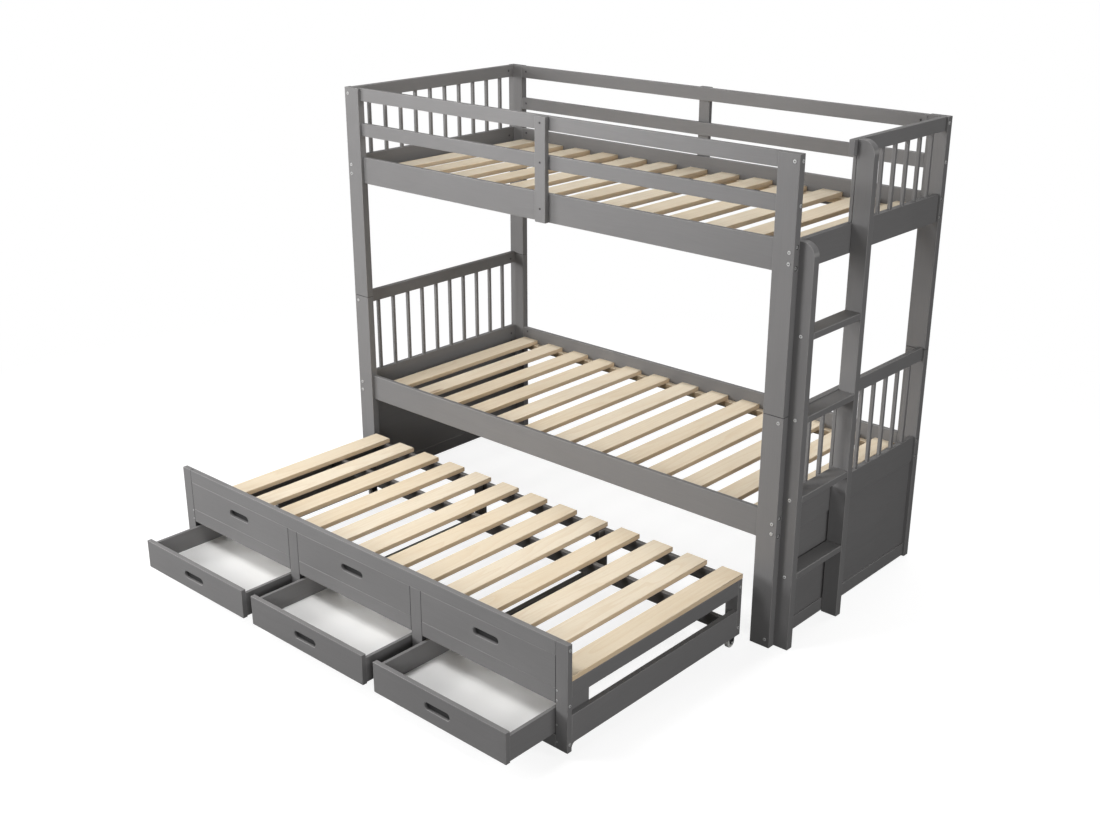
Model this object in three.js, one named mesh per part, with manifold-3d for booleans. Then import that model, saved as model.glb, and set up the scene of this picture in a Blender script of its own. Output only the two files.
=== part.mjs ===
// A twin bunk bed with a trundle bed that rolls out from under it and carries three drawers.
// Millimetres, +Z up. X runs along the bed towards the ladder, and -Y is the front.
// It is stored with the trundle rolled out and the drawers part open.
import * as THREE from 'three';
import { mergeVertices } from 'three/addons/utils/BufferGeometryUtils.js';
import Module from 'manifold-3d';

const wasm = await Module();
wasm.setup();

// Overall sizes of the bed
const bedLength = 2100;
const bedWidth = 960;
const bedHeight = 1690;
const seamHeight = 844;
const postWidth = 78;
const postThickness = 30;

// Rails and guards
const sideRailHeight = 104;
const sideRailThickness = 18;
const lowerRailTop = 500;
const guardHeight = 270;
const guardRailHeight = 50;
const guardSpacing = 136;
const guardStileWidth = 50;
const guardStileThickness = 20;

// End panels
const endRailThickness = 20;
const endRailRecess = 8;
const endRailHeight = 100;
const endTopRailHeight = 50;
const endTopRailRise = 8;
const spindleWidth = 13;
const spindleCount = 10;
const spindleSpacing = 83;
const tenonLength = 5;
const boardThickness = 12;
const boardRecess = 6;
const baseRailHeight = 50;
const baseRailLift = 4;

// Slats
const slatWidth = 86;
const slatThickness = 18;
const slatCount = 13;
const slatDrop = 47;
const slatEndMargin = 5;
const slatSideGap = 1;
const cleatWidth = 28;
const cleatHeight = 22;

// Ladder
const ladderDepth = 62;
const ladderThickness = 30;
const ladderClearWidth = 284;
const ladderCornerRadius = 45;
const treadThickness = 24;
const treadCount = 4;
const firstTreadTop = 284;
const treadSpacing = 282;
const entryRailOverhang = 21;

// Trundle frame
const trundleTravel = 942;
const trundleSideGap = 4;
const trundleTopGap = 5;
const trundleDepth = 885;
const trundleLift = 22;
const frontThickness = 20;
const frontStileWidth = 48;
const dividerWidth = 50;
const fasciaRailHeight = 50;
const fasciaHeight = 212;
const fasciaGrooveHeight = 110;
const grooveSize = 2;
const bottomRailHeight = 46;
const trundleRailHeight = 54;
const trundleRailThickness = 18;
const trundleSlatDrop = 110;
const endFrameThickness = 20;
const endFrameLift = 50;
const endLowRailHeight = 98;
const endFootRadius = 16;
const cornerBlockDepth = 100;
const rearPostWidth = 50;
const rearPostThickness = 22;
const crossRailHeight = 48;
const backRailInset = 8;
const backLowRailHeight = 50;
const centreRailFromRear = 239;
const middleRailThickness = 20;
const middleRailHeight = 73;
const middleRailOffset = { left: 60, right: 48 };
const middlePostDepth = 29;
const frontCleatHeight = 28;
const frontCleatWidth = 20;
const firstSlatInset = 74;

// Drawers and their runners
const drawerOpening = 211;
const drawerDepth = 345;
const drawerBackGap = 5;
const drawerFrontThickness = 18;
const drawerFrontGap = 1.5;
const drawerBoxInset = 2;
const drawerSideThickness = 12;
const drawerSideDrop = 17;
const drawerSideLift = 3.5;
const drawerBottomThickness = 5;
const drawerBottomLift = 8;
const drawerGrooveDepth = 6;
const runnerGuideHeight = 15;
const runnerGuideGap = 1.5;
const runnerOverlap = 30;

// Finger pockets
const pocketLength = 110;
const pocketHeight = 26;
const fasciaPocketDepth = 14;
const drawerPocketDepth = 12;
const fasciaPocketDrop = 99;

// Casters
const wheelRadius = 20;
const wheelWidth = 16;
const wheelChamfer = 2;
const axleRadius = 3;
const axleClearance = 0.1;
const plateThickness = 2.5;
const plateLength = 44;
const cheekThickness = 2.5;
const cheekGap = 1;
const cheekRadius = 8;
const frontCasterInset = 50;
const rearCasterInset = { left: 64, right: 26 };
const casterEndGap = 2;

// Dowels between the lower and upper posts
const dowelRadius = 5;
const dowelLength = 30;
const dowelSpacing = 40;
const dowelClearance = 0.3;

// Every butt joint and seat keeps this gap
const seat = 0.3;

// How far a cutter starts outside the face that it cuts, and how many flats stand for a curve
const cutterOverrun = 1;
const outlineSegments = 8;
const pinSegments = 16;
const wheelSegments = 32;

// Places worked out from the sizes above
const postInnerX = bedLength / 2 - postWidth;
const postInnerY = bedWidth / 2 - postThickness;
const railOuterY = postInnerY + sideRailThickness;
const upperRailTop = bedHeight - guardHeight;
const lowerRailBottom = lowerRailTop - sideRailHeight;
const endOuterX = bedLength / 2 - endRailRecess;
const endInnerX = endOuterX - endRailThickness;
const ladderInnerX = endOuterX + seat;
const ladderOuterX = ladderInnerX + ladderDepth;
const ladderFrontY = -postInnerY + seat;
const ladderBackY = ladderFrontY + ladderThickness + ladderClearWidth;
const trundleHalf = postInnerX - trundleSideGap;
const trundleTop = lowerRailBottom - trundleTopGap;
const frontY = -bedWidth / 2 - trundleTravel;
const frameY = frontY + frontThickness + seat;
const rearY = frontY + trundleDepth;
const stileInnerX = trundleHalf - frontStileWidth;
const bayWidth = (2 * stileInnerX - 2 * dividerWidth) / 3;
const dividerX = (bayWidth + dividerWidth) / 2;
const bayBottom = trundleLift + bottomRailHeight;
const fasciaBottom = trundleTop - fasciaHeight;
const trundleSlatTop = trundleTop - trundleSlatDrop;
const trundleRailTop = trundleSlatTop - slatThickness - seat;
const trundleRailBottom = trundleRailTop - trundleRailHeight;
const crossRailBottom = trundleRailTop - crossRailHeight;
const backRailY = rearY - backRailInset - trundleRailThickness;
const centreRailY = rearY - centreRailFromRear - trundleRailThickness;
const endFrameInnerX = trundleHalf - endFrameThickness;
const firstSlatX = -trundleHalf + firstSlatInset;
const leftFrameInnerX = firstSlatX + endFrameThickness;
const rearPostY = rearY - rearPostThickness;
const drawerBottom = bayBottom + drawerFrontGap;
const drawerTop = fasciaBottom - drawerFrontGap;
const drawerHalf = bayWidth / 2 - drawerFrontGap;
const boxHalf = drawerHalf - drawerBoxInset;
const boxBottom = drawerBottom + drawerSideLift;
const boxTop = drawerTop - drawerSideDrop;
const runnerTop = boxBottom - seat;
const runnerBottom = endFrameLift;
const guideTop = runnerTop + runnerGuideHeight;
const behindDrawersY = frontY + drawerDepth + drawerBackGap;
const runnerEndY = behindDrawersY + runnerOverlap;
const guideHalf = dividerWidth / 2 + drawerFrontGap + drawerBoxInset - runnerGuideGap;
const runnerHalf = guideHalf + runnerGuideGap + drawerSideThickness;
const guideInnerX = stileInnerX - drawerFrontGap - drawerBoxInset + runnerGuideGap;
const runnerInnerX = guideInnerX - runnerGuideGap - drawerSideThickness;

const paint = { color: 0x8b8a8c, roughness: 0.5, metalness: 0 };
const wood = { color: 0xe3d2b4, roughness: 0.6, metalness: 0 };
const whiteBoard = { color: 0xededeb, roughness: 0.55, metalness: 0 };
const blackHousing = { color: 0x1d1d1f, roughness: 0.45, metalness: 0 };
const wheelPlastic = { color: 0xc9c9c6, roughness: 0.5, metalness: 0 };

const bed = new THREE.Group();

function addMesh(name, geometry, finish) {
  const mesh = new THREE.Mesh(geometry, new THREE.MeshStandardMaterial(finish));
  mesh.name = name;
  bed.add(mesh);
  return mesh;
}

// A box between the low and high ends given for each axis
function block(x, y, z) {
  const geometry = new THREE.BoxGeometry(2, 2, 2);
  const corners = geometry.attributes.position;
  for (let i = 0; i < corners.count; i += 1) {
    corners.setXYZ(i,
      corners.getX(i) < 0 ? x[0] : x[1],
      corners.getY(i) < 0 ? y[0] : y[1],
      corners.getZ(i) < 0 ? z[0] : z[1]);
  }
  return geometry;
}

// A flat outline in X and Z, given thickness from y to y + depth
function boardAcross(shape, y, depth) {
  const geometry = new THREE.ExtrudeGeometry(shape, { depth, bevelEnabled: false, curveSegments: outlineSegments });
  geometry.rotateX(Math.PI / 2);
  geometry.translate(0, y + depth, 0);
  return geometry;
}

// A flat outline in Y and Z, given thickness from x to x + depth
function boardAlong(shape, x, depth) {
  const geometry = new THREE.ExtrudeGeometry(shape, { depth, bevelEnabled: false, curveSegments: outlineSegments });
  geometry.rotateX(Math.PI / 2);
  geometry.rotateZ(Math.PI / 2);
  geometry.translate(x, 0, 0);
  return geometry;
}

// A round pin whose axis runs along X or Z
function pin(radius, length, axis, centre) {
  const geometry = new THREE.CylinderGeometry(radius, radius, length, pinSegments);
  if (axis === 'x') {
    geometry.rotateZ(Math.PI / 2);
  } else {
    geometry.rotateX(Math.PI / 2);
  }
  geometry.translate(...centre);
  return geometry;
}

function toSolid(geometry) {
  const bare = geometry.clone();
  bare.deleteAttribute('normal');
  bare.deleteAttribute('uv');
  const merged = mergeVertices(bare);
  return new wasm.Manifold(new wasm.Mesh({
    numProp: 3,
    vertProperties: merged.attributes.position.array,
    triVerts: new Uint32Array(merged.index.array),
  }));
}

function toGeometry(solid) {
  const mesh = solid.getMesh();
  const geometry = new THREE.BufferGeometry();
  geometry.setAttribute('position', new THREE.BufferAttribute(mesh.vertProperties, 3));
  geometry.setIndex(new THREE.BufferAttribute(mesh.triVerts, 1));
  geometry.computeVertexNormals();
  return geometry;
}

function joined(parts) {
  return parts.map(toSolid).reduce((whole, next) => whole.add(next));
}

function cutFrom(solid, tools) {
  return tools.map(toSolid).reduce((rest, tool) => rest.subtract(tool), solid);
}

// A slot outline with round ends, centred on a point
function slotShape(length, height, x, z) {
  const reach = (length - height) / 2;
  const shape = new THREE.Shape();
  shape.absarc(x + reach, z, height / 2, -Math.PI / 2, Math.PI / 2, false);
  shape.absarc(x - reach, z, height / 2, Math.PI / 2, 1.5 * Math.PI, false);
  shape.closePath();
  return shape;
}

// The names of each pair of sides, with the sign of the axis that they stand on
const frontAndBack = [['front', -1], ['back', 1]];
const headAndFoot = [['head', -1], ['foot', 1]];
const leftAndRight = [['left', -1], ['right', 1]];

function ordered(a, b) {
  return a < b ? [a, b] : [b, a];
}

function dowelCentres(sx, sy) {
  const x = sx * (bedLength / 2 - postWidth / 2);
  const y = sy * (bedWidth / 2 - postThickness / 2);
  return [-1, 1].map((side) => [x + side * dowelSpacing / 2, y]);
}

function addPosts() {
  for (const [end, sx] of headAndFoot) {
    for (const [face, sy] of frontAndBack) {
      const x = ordered(sx * bedLength / 2, sx * postInnerX);
      const y = ordered(sy * bedWidth / 2, sy * postInnerY);
      const upperBottom = seamHeight + seat;
      const holes = dowelCentres(sx, sy).map(([cx, cy]) => pin(
        dowelRadius + dowelClearance, 2 * (dowelLength + seat), 'z', [cx, cy, seamHeight]));
      const dowels = dowelCentres(sx, sy).map(([cx, cy]) => pin(
        dowelRadius, 2 * dowelLength, 'z', [cx, cy, upperBottom]));
      const lower = cutFrom(toSolid(block(x, y, [0, seamHeight])), holes);
      const upper = joined([block(x, y, [upperBottom, bedHeight]), ...dowels]);
      addMesh(`post_lower_${end}_${face}`, toGeometry(lower), paint);
      addMesh(`post_upper_${end}_${face}`, toGeometry(upper), paint);
    }
  }
}

function addRails() {
  const x = [-postInnerX + seat, postInnerX - seat];
  const guardTops = { top: bedHeight, middle: bedHeight - guardSpacing };
  for (const [face, sy] of frontAndBack) {
    const y = ordered(sy * railOuterY, sy * postInnerY);
    for (const [level, top] of [['upper', upperRailTop], ['lower', lowerRailTop]]) {
      addMesh(`side_rail_${level}_${face}`, block(x, y, [top - sideRailHeight, top]), paint);
    }
    for (const [level, top] of Object.entries(guardTops)) {
      addMesh(`guard_rail_${level}_${face}`, block(x, y, [top - guardRailHeight, top]), paint);
    }
    const stileX = [-guardStileWidth / 2, guardStileWidth / 2];
    const stileY = ordered(sy * (railOuterY + seat), sy * (railOuterY + seat + guardStileThickness));
    const stileZ = [upperRailTop - sideRailHeight, bedHeight];
    addMesh(`guard_stile_${face}`, block(stileX, stileY, stileZ), paint);
  }
}

// An end panel: a rail, a top rail that may stop short at fromY, and the spindles between them
function endPanel(sx, railTop, topRailTop, fromY) {
  const x = ordered(sx * endOuterX, sx * endInnerX);
  const y = [-postInnerY + seat, postInnerY - seat];
  const topRailY = [Math.max(fromY, y[0]), y[1]];
  const topRailBottom = topRailTop - endTopRailHeight;
  const parts = [
    block(x, y, [railTop - endRailHeight, railTop]),
    block(x, topRailY, [topRailBottom, topRailTop]),
  ];
  const middle = sx * (endOuterX + endInnerX) / 2;
  for (let i = 0; i < spindleCount; i += 1) {
    const centre = (i - (spindleCount - 1) / 2) * spindleSpacing;
    if (centre > topRailY[0] + spindleWidth) {
      parts.push(block(
        [middle - spindleWidth / 2, middle + spindleWidth / 2],
        [centre - spindleWidth / 2, centre + spindleWidth / 2],
        [railTop - tenonLength, topRailBottom + tenonLength]));
    }
  }
  return toGeometry(joined(parts));
}

function addEndPanels() {
  for (const [end, sx] of headAndFoot) {
    const entry = end === 'foot' ? ladderBackY - entryRailOverhang : -bedWidth;
    addMesh(`end_panel_upper_${end}`, endPanel(sx, upperRailTop, bedHeight, entry), paint);
    const lowerTop = seamHeight + endTopRailRise;
    addMesh(`end_panel_lower_${end}`, endPanel(sx, lowerRailTop, lowerTop, -bedWidth), paint);
  }
}

// The solid board under each lower end panel, with its tongue in the base rail
function addEndBoards() {
  const y = [-postInnerY + seat, postInnerY - seat];
  const baseTop = baseRailLift + baseRailHeight;
  for (const [end, sx] of headAndFoot) {
    const boardOuter = endOuterX - boardRecess;
    const boardX = ordered(sx * boardOuter, sx * (boardOuter - boardThickness));
    const railX = ordered(sx * endOuterX, sx * endInnerX);
    const board = block(boardX, y, [baseTop - tenonLength, lowerRailTop - endRailHeight - seat]);
    const base = block(railX, y, [baseRailLift, baseTop]);
    addMesh(`end_board_${end}`, toGeometry(joined([board, base])), paint);
  }
}

// The slats of a bunk with the two cleats that they are fixed to
function slatDeck(top) {
  const half = postInnerX - slatEndMargin;
  const pitch = (2 * half - slatWidth) / (slatCount - 1);
  const slatY = [-postInnerY + slatSideGap, postInnerY - slatSideGap];
  const slatZ = [top - slatThickness, top];
  const parts = frontAndBack.map(([, sy]) => block(
    [-half, half],
    ordered(sy * (postInnerY - seat), sy * (postInnerY - cleatWidth)),
    [slatZ[0] - cleatHeight, slatZ[0]]));
  for (let i = 0; i < slatCount; i += 1) {
    const x = -half + i * pitch;
    parts.push(block([x, x + slatWidth], slatY, slatZ));
  }
  return toGeometry(joined(parts));
}

function addSlatDecks() {
  addMesh('slat_deck_upper', slatDeck(upperRailTop - slatDrop), wood);
  addMesh('slat_deck_lower', slatDeck(lowerRailTop - slatDrop), wood);
}

// A ladder stile with its outer top corner rounded
function ladderStile(y, top) {
  const shape = new THREE.Shape();
  const radius = Math.min(ladderCornerRadius, ladderDepth - 1);
  shape.moveTo(ladderInnerX, 0);
  shape.lineTo(ladderOuterX, 0);
  shape.absarc(ladderOuterX - radius, top - radius, radius, 0, Math.PI / 2, false);
  shape.lineTo(ladderInnerX, top);
  shape.closePath();
  return boardAcross(shape, y, ladderThickness);
}

function addLadder() {
  addMesh('ladder_stile_front', ladderStile(ladderFrontY, upperRailTop), paint);
  addMesh('ladder_stile_back', ladderStile(ladderBackY, bedHeight), paint);
  const y = [ladderFrontY + ladderThickness + seat, ladderBackY - seat];
  for (let i = 0; i < treadCount; i += 1) {
    const top = firstTreadTop + i * treadSpacing;
    addMesh(`ladder_tread_${i + 1}`, block([ladderInnerX, ladderOuterX], y, [top - treadThickness, top]), paint);
  }
}

// The fascia: a top rail and three panels in one board, notched for the dividers
function fasciaShape() {
  const half = stileInnerX - seat;
  const notchTop = trundleTop - fasciaRailHeight;
  const shape = new THREE.Shape();
  shape.moveTo(-half, trundleTop);
  shape.lineTo(-half, fasciaBottom);
  for (const centre of [-dividerX, dividerX]) {
    const reach = dividerWidth / 2 + seat;
    shape.lineTo(centre - reach, fasciaBottom);
    shape.lineTo(centre - reach, notchTop);
    shape.lineTo(centre + reach, notchTop);
    shape.lineTo(centre + reach, fasciaBottom);
  }
  shape.lineTo(half, fasciaBottom);
  shape.lineTo(half, trundleTop);
  shape.closePath();
  return shape;
}

function bayCentres() {
  return [-1, 0, 1].map((i) => i * (bayWidth + dividerWidth));
}

function addTrundleFront() {
  const y = [frontY, frontY + frontThickness];
  const groove = (z) => block([-trundleHalf, trundleHalf],
    [frontY - grooveSize, frontY + grooveSize], [z - grooveSize / 2, z + grooveSize / 2]);
  const pocketZ = trundleTop - fasciaPocketDrop;
  const pockets = bayCentres().map((x) => boardAcross(
    slotShape(pocketLength, pocketHeight, x, pocketZ),
    frontY - cutterOverrun, fasciaPocketDepth + cutterOverrun));
  const fascia = cutFrom(toSolid(boardAcross(fasciaShape(), frontY, frontThickness)), [
    groove(trundleTop - fasciaRailHeight),
    groove(trundleTop - fasciaRailHeight - fasciaGrooveHeight),
    ...pockets,
  ]);
  addMesh('trundle_fascia', toGeometry(fascia), paint);
  for (const [side, sx] of leftAndRight) {
    const x = ordered(sx * stileInnerX, sx * trundleHalf);
    addMesh(`trundle_stile_${side}`, block(x, y, [trundleLift, trundleTop]), paint);
  }
  const railX = [-stileInnerX + seat, stileInnerX - seat];
  addMesh('trundle_bottom_rail', block(railX, y, [trundleLift, bayBottom]), paint);
}

// The X ends of the rail and post behind the drawers, to one side of a divider
function middleRailX(side, sx) {
  const start = sx * dividerX + middleRailOffset[side];
  return [start, start + middleRailThickness];
}

// The divider between two drawers, the runner behind it, and the rail and post behind the drawers
function addMiddleFrames() {
  const notchTop = trundleTop - fasciaRailHeight;
  for (const [side, sx] of leftAndRight) {
    const x = sx * dividerX;
    const across = (half) => [x - half, x + half];
    const railX = middleRailX(side, sx);
    const postY = [backRailY - middlePostDepth, backRailY - seat];
    addMesh(`trundle_middle_frame_${side}`, toGeometry(joined([
      block(across(dividerWidth / 2), [frontY, frontY + frontThickness], [bayBottom + seat, notchTop - seat]),
      block(across(dividerWidth / 2), [frontY + tenonLength, runnerEndY], [bayBottom + seat, guideTop]),
      block(across(guideHalf), [frameY, runnerEndY], [runnerBottom, guideTop]),
      block([x - runnerHalf, railX[1]], [frameY, runnerEndY], [runnerBottom, runnerTop]),
      block(railX, [behindDrawersY, postY[1]], [runnerBottom, runnerBottom + middleRailHeight]),
      block(railX, postY, [runnerBottom, trundleRailTop]),
    ])), paint);
  }
}

// The lower end rail in Y and Z: its front corner runs down in a curve behind the stile
function endLowRailShape(rearEnd) {
  const bottom = endFrameLift;
  const top = endFrameLift + endLowRailHeight;
  const shape = new THREE.Shape();
  shape.moveTo(frameY, top);
  shape.lineTo(frameY, bottom - endFootRadius);
  shape.absarc(frameY + endFootRadius, bottom - endFootRadius, endFootRadius, Math.PI, Math.PI / 2, true);
  shape.lineTo(rearEnd, bottom);
  shape.lineTo(rearEnd, top);
  shape.closePath();
  return shape;
}

// The front of an end frame, beside the drawers: low rail, corner block, runner and guide
function endFrameFront(sx, lowRailEnd, runnerEnd) {
  const railX = ordered(sx * endFrameInnerX, sx * trundleHalf);
  const inner = (from) => ordered(sx * from, sx * (endFrameInnerX + tenonLength));
  return [
    boardAlong(endLowRailShape(lowRailEnd), railX[0], endFrameThickness),
    block(inner(endFrameInnerX - endFrameThickness), [frameY, frameY + cornerBlockDepth],
      [runnerBottom, trundleRailTop]),
    block(inner(runnerInnerX), [frameY, runnerEnd], [runnerBottom, runnerTop]),
    block(inner(guideInnerX), [frameY, runnerEnd], [runnerBottom, guideTop]),
  ];
}

function addRightEndFrame() {
  const railX = [endFrameInnerX, trundleHalf];
  const railEnd = rearPostY + tenonLength;
  addMesh('trundle_end_frame_right', toGeometry(joined([
    ...endFrameFront(1, railEnd, backRailY - seat),
    block(railX, [frameY, railEnd], [trundleRailBottom, trundleRailTop]),
    block([trundleHalf - rearPostWidth, trundleHalf], [rearPostY, rearY], [endFrameLift, trundleRailTop]),
  ])), paint);
}

// The left end frame steps in behind the drawers, so that its rails stand under the first slat
function addLeftEndFrame() {
  const railX = [firstSlatX, leftFrameInnerX];
  const railStart = frameY + frontCleatWidth + seat;
  const railEnd = rearPostY + tenonLength;
  addMesh('trundle_end_frame_left', toGeometry(joined([
    ...endFrameFront(-1, runnerEndY, runnerEndY),
    block([-endFrameInnerX, leftFrameInnerX], [railStart, frameY + cornerBlockDepth],
      [trundleRailBottom, trundleRailTop]),
    block(railX, [railStart, railEnd], [trundleRailBottom, trundleRailTop]),
    block(railX, [behindDrawersY, railEnd], [endFrameLift, endFrameLift + endLowRailHeight]),
    block([-trundleHalf, leftFrameInnerX], [behindDrawersY, railEnd], [runnerBottom, runnerTop]),
    block([-trundleHalf + rearPostWidth, leftFrameInnerX], [rearPostY, rearY], [endFrameLift, trundleRailTop]),
  ])), paint);
}

function addBackFrame() {
  const x = [leftFrameInnerX + seat, trundleHalf - rearPostWidth - seat];
  const y = [backRailY, backRailY + trundleRailThickness];
  addMesh('trundle_back_frame', toGeometry(joined([
    block(x, y, [crossRailBottom, trundleRailTop]),
    block(x, y, [endFrameLift, endFrameLift + backLowRailHeight]),
    ...leftAndRight.map(([side, sx]) => block(middleRailX(side, sx), y, [endFrameLift, trundleRailTop])),
  ])), paint);
  addMesh('trundle_centre_rail', block([leftFrameInnerX + seat, endFrameInnerX - seat],
    [centreRailY, centreRailY + trundleRailThickness], [crossRailBottom, trundleRailTop]), paint);
}

// The trundle's slats, joined by the cleat behind the fascia
function addTrundleDeck() {
  const pitch = (2 * trundleHalf - firstSlatInset - slatWidth) / (slatCount - 1);
  const slatZ = [trundleSlatTop - slatThickness, trundleSlatTop];
  const cleatHalf = endFrameInnerX - endFrameThickness - seat;
  const parts = [block([-cleatHalf, cleatHalf], [frameY, frameY + frontCleatWidth],
    [slatZ[0] - frontCleatHeight, slatZ[0]])];
  for (let i = 0; i < slatCount; i += 1) {
    const x = firstSlatX + i * pitch;
    parts.push(block([x, x + slatWidth], [frameY, rearY], slatZ));
  }
  addMesh('trundle_slat_deck', toGeometry(joined(parts)), wood);
}

// A fixed caster: plate, two cheeks and axle in one piece, and the wheel that turns on the axle
function casterBracket(x, y) {
  const plateTop = endFrameLift - seat;
  const inner = wheelWidth / 2 + cheekGap;
  const outer = inner + cheekThickness;
  const plateHalf = plateLength / 2;
  const cheekHalf = plateHalf - plateThickness;
  const cheek = new THREE.Shape();
  cheek.moveTo(y - cheekHalf, plateTop - plateThickness / 2);
  cheek.lineTo(y - cheekRadius, wheelRadius);
  cheek.absarc(y, wheelRadius, cheekRadius, Math.PI, 2 * Math.PI, false);
  cheek.lineTo(y + cheekHalf, plateTop - plateThickness / 2);
  cheek.closePath();
  return toGeometry(joined([
    block([x - outer - plateThickness, x + outer + plateThickness], [y - plateHalf, y + plateHalf],
      [plateTop - plateThickness, plateTop]),
    boardAlong(cheek, x - outer, cheekThickness),
    boardAlong(cheek, x + inner, cheekThickness),
    pin(axleRadius, 2 * (outer + cheekThickness / 2), 'x', [x, y, wheelRadius]),
  ]));
}

function casterWheel() {
  const half = wheelWidth / 2;
  const bore = axleRadius + axleClearance;
  const profile = [
    [bore, -half], [wheelRadius - wheelChamfer, -half], [wheelRadius, -half + wheelChamfer],
    [wheelRadius, half - wheelChamfer], [wheelRadius - wheelChamfer, half], [bore, half], [bore, -half],
  ].map(([r, z]) => new THREE.Vector2(r, z));
  const geometry = new THREE.LatheGeometry(profile, wheelSegments);
  geometry.rotateZ(Math.PI / 2);
  return geometry;
}

function addCasters() {
  const plateHalf = plateLength / 2;
  for (const [side, sx] of leftAndRight) {
    const places = {
      front: [trundleHalf - frontCasterInset, frameY + casterEndGap + plateHalf],
      rear: [trundleHalf - rearCasterInset[side], rearY - plateHalf],
    };
    for (const [place, [out, y]] of Object.entries(places)) {
      const x = sx * out;
      addMesh(`caster_bracket_${place}_${side}`, casterBracket(x, y), blackHousing);
      const wheel = addMesh(`caster_wheel_${place}_${side}`, casterWheel(), wheelPlastic);
      wheel.position.set(x, y, wheelRadius);
    }
  }
}

// The drawer box without its bottom: two sides and a back, grooved for the bottom panel
function drawerBox(x, startY, endY) {
  const innerHalf = boxHalf - drawerSideThickness;
  const z = [boxBottom, boxTop];
  const grooveHalf = innerHalf + drawerGrooveDepth;
  const panelBottom = boxBottom + drawerBottomLift;
  const grooveEnd = endY - drawerSideThickness + drawerGrooveDepth;
  const groove = block([x - grooveHalf, x + grooveHalf], [startY - cutterOverrun, grooveEnd],
    [panelBottom - seat, panelBottom + drawerBottomThickness + seat]);
  const walls = joined([
    block([x - boxHalf, x - innerHalf], [startY, endY], z),
    block([x + innerHalf, x + boxHalf], [startY, endY], z),
    block([x - boxHalf, x + boxHalf], [endY - drawerSideThickness, endY], z),
  ]);
  return toGeometry(cutFrom(walls, [groove]));
}

function addDrawers() {
  const names = ['left', 'middle', 'right'];
  const y0 = frontY - drawerOpening;
  const boxY = y0 + drawerFrontThickness + seat;
  const endY = y0 + drawerDepth;
  const panelBottom = boxBottom + drawerBottomLift;
  bayCentres().forEach((x, i) => {
    const pocket = boardAcross(
      slotShape(pocketLength, pocketHeight, x, (drawerBottom + drawerTop) / 2),
      y0 - cutterOverrun, drawerPocketDepth + cutterOverrun);
    const front = toSolid(block([x - drawerHalf, x + drawerHalf], [y0, y0 + drawerFrontThickness],
      [drawerBottom, drawerTop]));
    addMesh(`drawer_front_${names[i]}`, toGeometry(cutFrom(front, [pocket])), paint);
    addMesh(`drawer_box_${names[i]}`, drawerBox(x, boxY, endY), paint);
    const panelHalf = boxHalf - drawerSideThickness + drawerGrooveDepth - seat;
    const panelEnd = endY - drawerSideThickness + drawerGrooveDepth - seat;
    addMesh(`drawer_bottom_${names[i]}`, block([x - panelHalf, x + panelHalf], [boxY, panelEnd],
      [panelBottom, panelBottom + drawerBottomThickness]), whiteBoard);
  });
}

addPosts();
addRails();
addEndPanels();
addEndBoards();
addSlatDecks();
addLadder();
addTrundleFront();
addMiddleFrames();
addRightEndFrame();
addLeftEndFrame();
addBackFrame();
addTrundleDeck();
addCasters();
addDrawers();

// The origin is on the floor, under the middle of everything as stored
const highX = ladderOuterX;
const lowX = -bedLength / 2;
const highY = railOuterY + seat + guardStileThickness;
const lowY = frontY - drawerOpening;
bed.position.set(-(lowX + highX) / 2, -(lowY + highY) / 2, 0);

const object = new THREE.Group();
object.add(bed);
export default object;
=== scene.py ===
"""A twin bunk bed with a rolled-out trundle and three open drawers.

Grey satin paint on softwood, pale planed slats, white faced drawer bottoms, and zinc-plated fittings.
"""
import math
import random
from collections import namedtuple

import bmesh
import bpy
import numpy as np
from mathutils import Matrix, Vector


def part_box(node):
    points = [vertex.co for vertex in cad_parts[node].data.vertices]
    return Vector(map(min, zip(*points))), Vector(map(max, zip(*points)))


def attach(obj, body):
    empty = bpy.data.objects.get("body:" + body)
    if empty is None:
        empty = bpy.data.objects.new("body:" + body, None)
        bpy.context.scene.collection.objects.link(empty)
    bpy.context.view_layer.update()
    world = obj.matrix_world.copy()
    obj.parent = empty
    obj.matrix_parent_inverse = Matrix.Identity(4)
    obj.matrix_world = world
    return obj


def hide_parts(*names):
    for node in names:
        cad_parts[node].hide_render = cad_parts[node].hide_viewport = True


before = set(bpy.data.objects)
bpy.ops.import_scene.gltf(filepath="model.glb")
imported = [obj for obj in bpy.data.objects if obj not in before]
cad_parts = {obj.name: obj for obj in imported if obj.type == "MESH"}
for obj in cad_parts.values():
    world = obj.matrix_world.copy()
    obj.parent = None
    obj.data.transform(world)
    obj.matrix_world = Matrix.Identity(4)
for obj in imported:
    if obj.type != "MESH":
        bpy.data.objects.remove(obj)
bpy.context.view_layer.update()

# The middle of the bed on the floor, from which a maker's drawing in millimetres is laid out
BED_MIDDLE = (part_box("post_lower_head_front")[0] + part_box("post_lower_foot_back")[1]) / 2
BED_MIDDLE.z = 0

# How far the edges of boards are rounded, in metres
EDGE_EASE = 0.0015       # painted boards, unless another is given
RAIL_EASE = 0.002        # side rails, guard rails, top rails and the ladder's stiles
TREAD_EASE = 0.003
SLAT_EASE = 0.0022
SPINDLE_EASE = 0.0018
THIN_EASE = 0.001        # cleats, and the sides and backs of the drawers
PANEL_EASE = 0.0008      # the solid boards of the bed's ends
BOTTOM_EASE = 0.0004     # the drawers' bottoms

# Other sizes that more than one piece has, in metres
SEAT = 0.0003            # the gap at the posts' seams
POCKET_REACH = 0.042     # half of a finger pocket's straight part
POCKET_RADIUS = 0.013
BOLT_RECESS_RADIUS = 0.0085
BOLT_RECESS_DEPTH = 0.007


def spot(x, y, z):
    """A point of the maker's drawing, in millimetres from the middle of the bed."""
    return BED_MIDDLE + Vector((x, y, z)) / 1000


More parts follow.
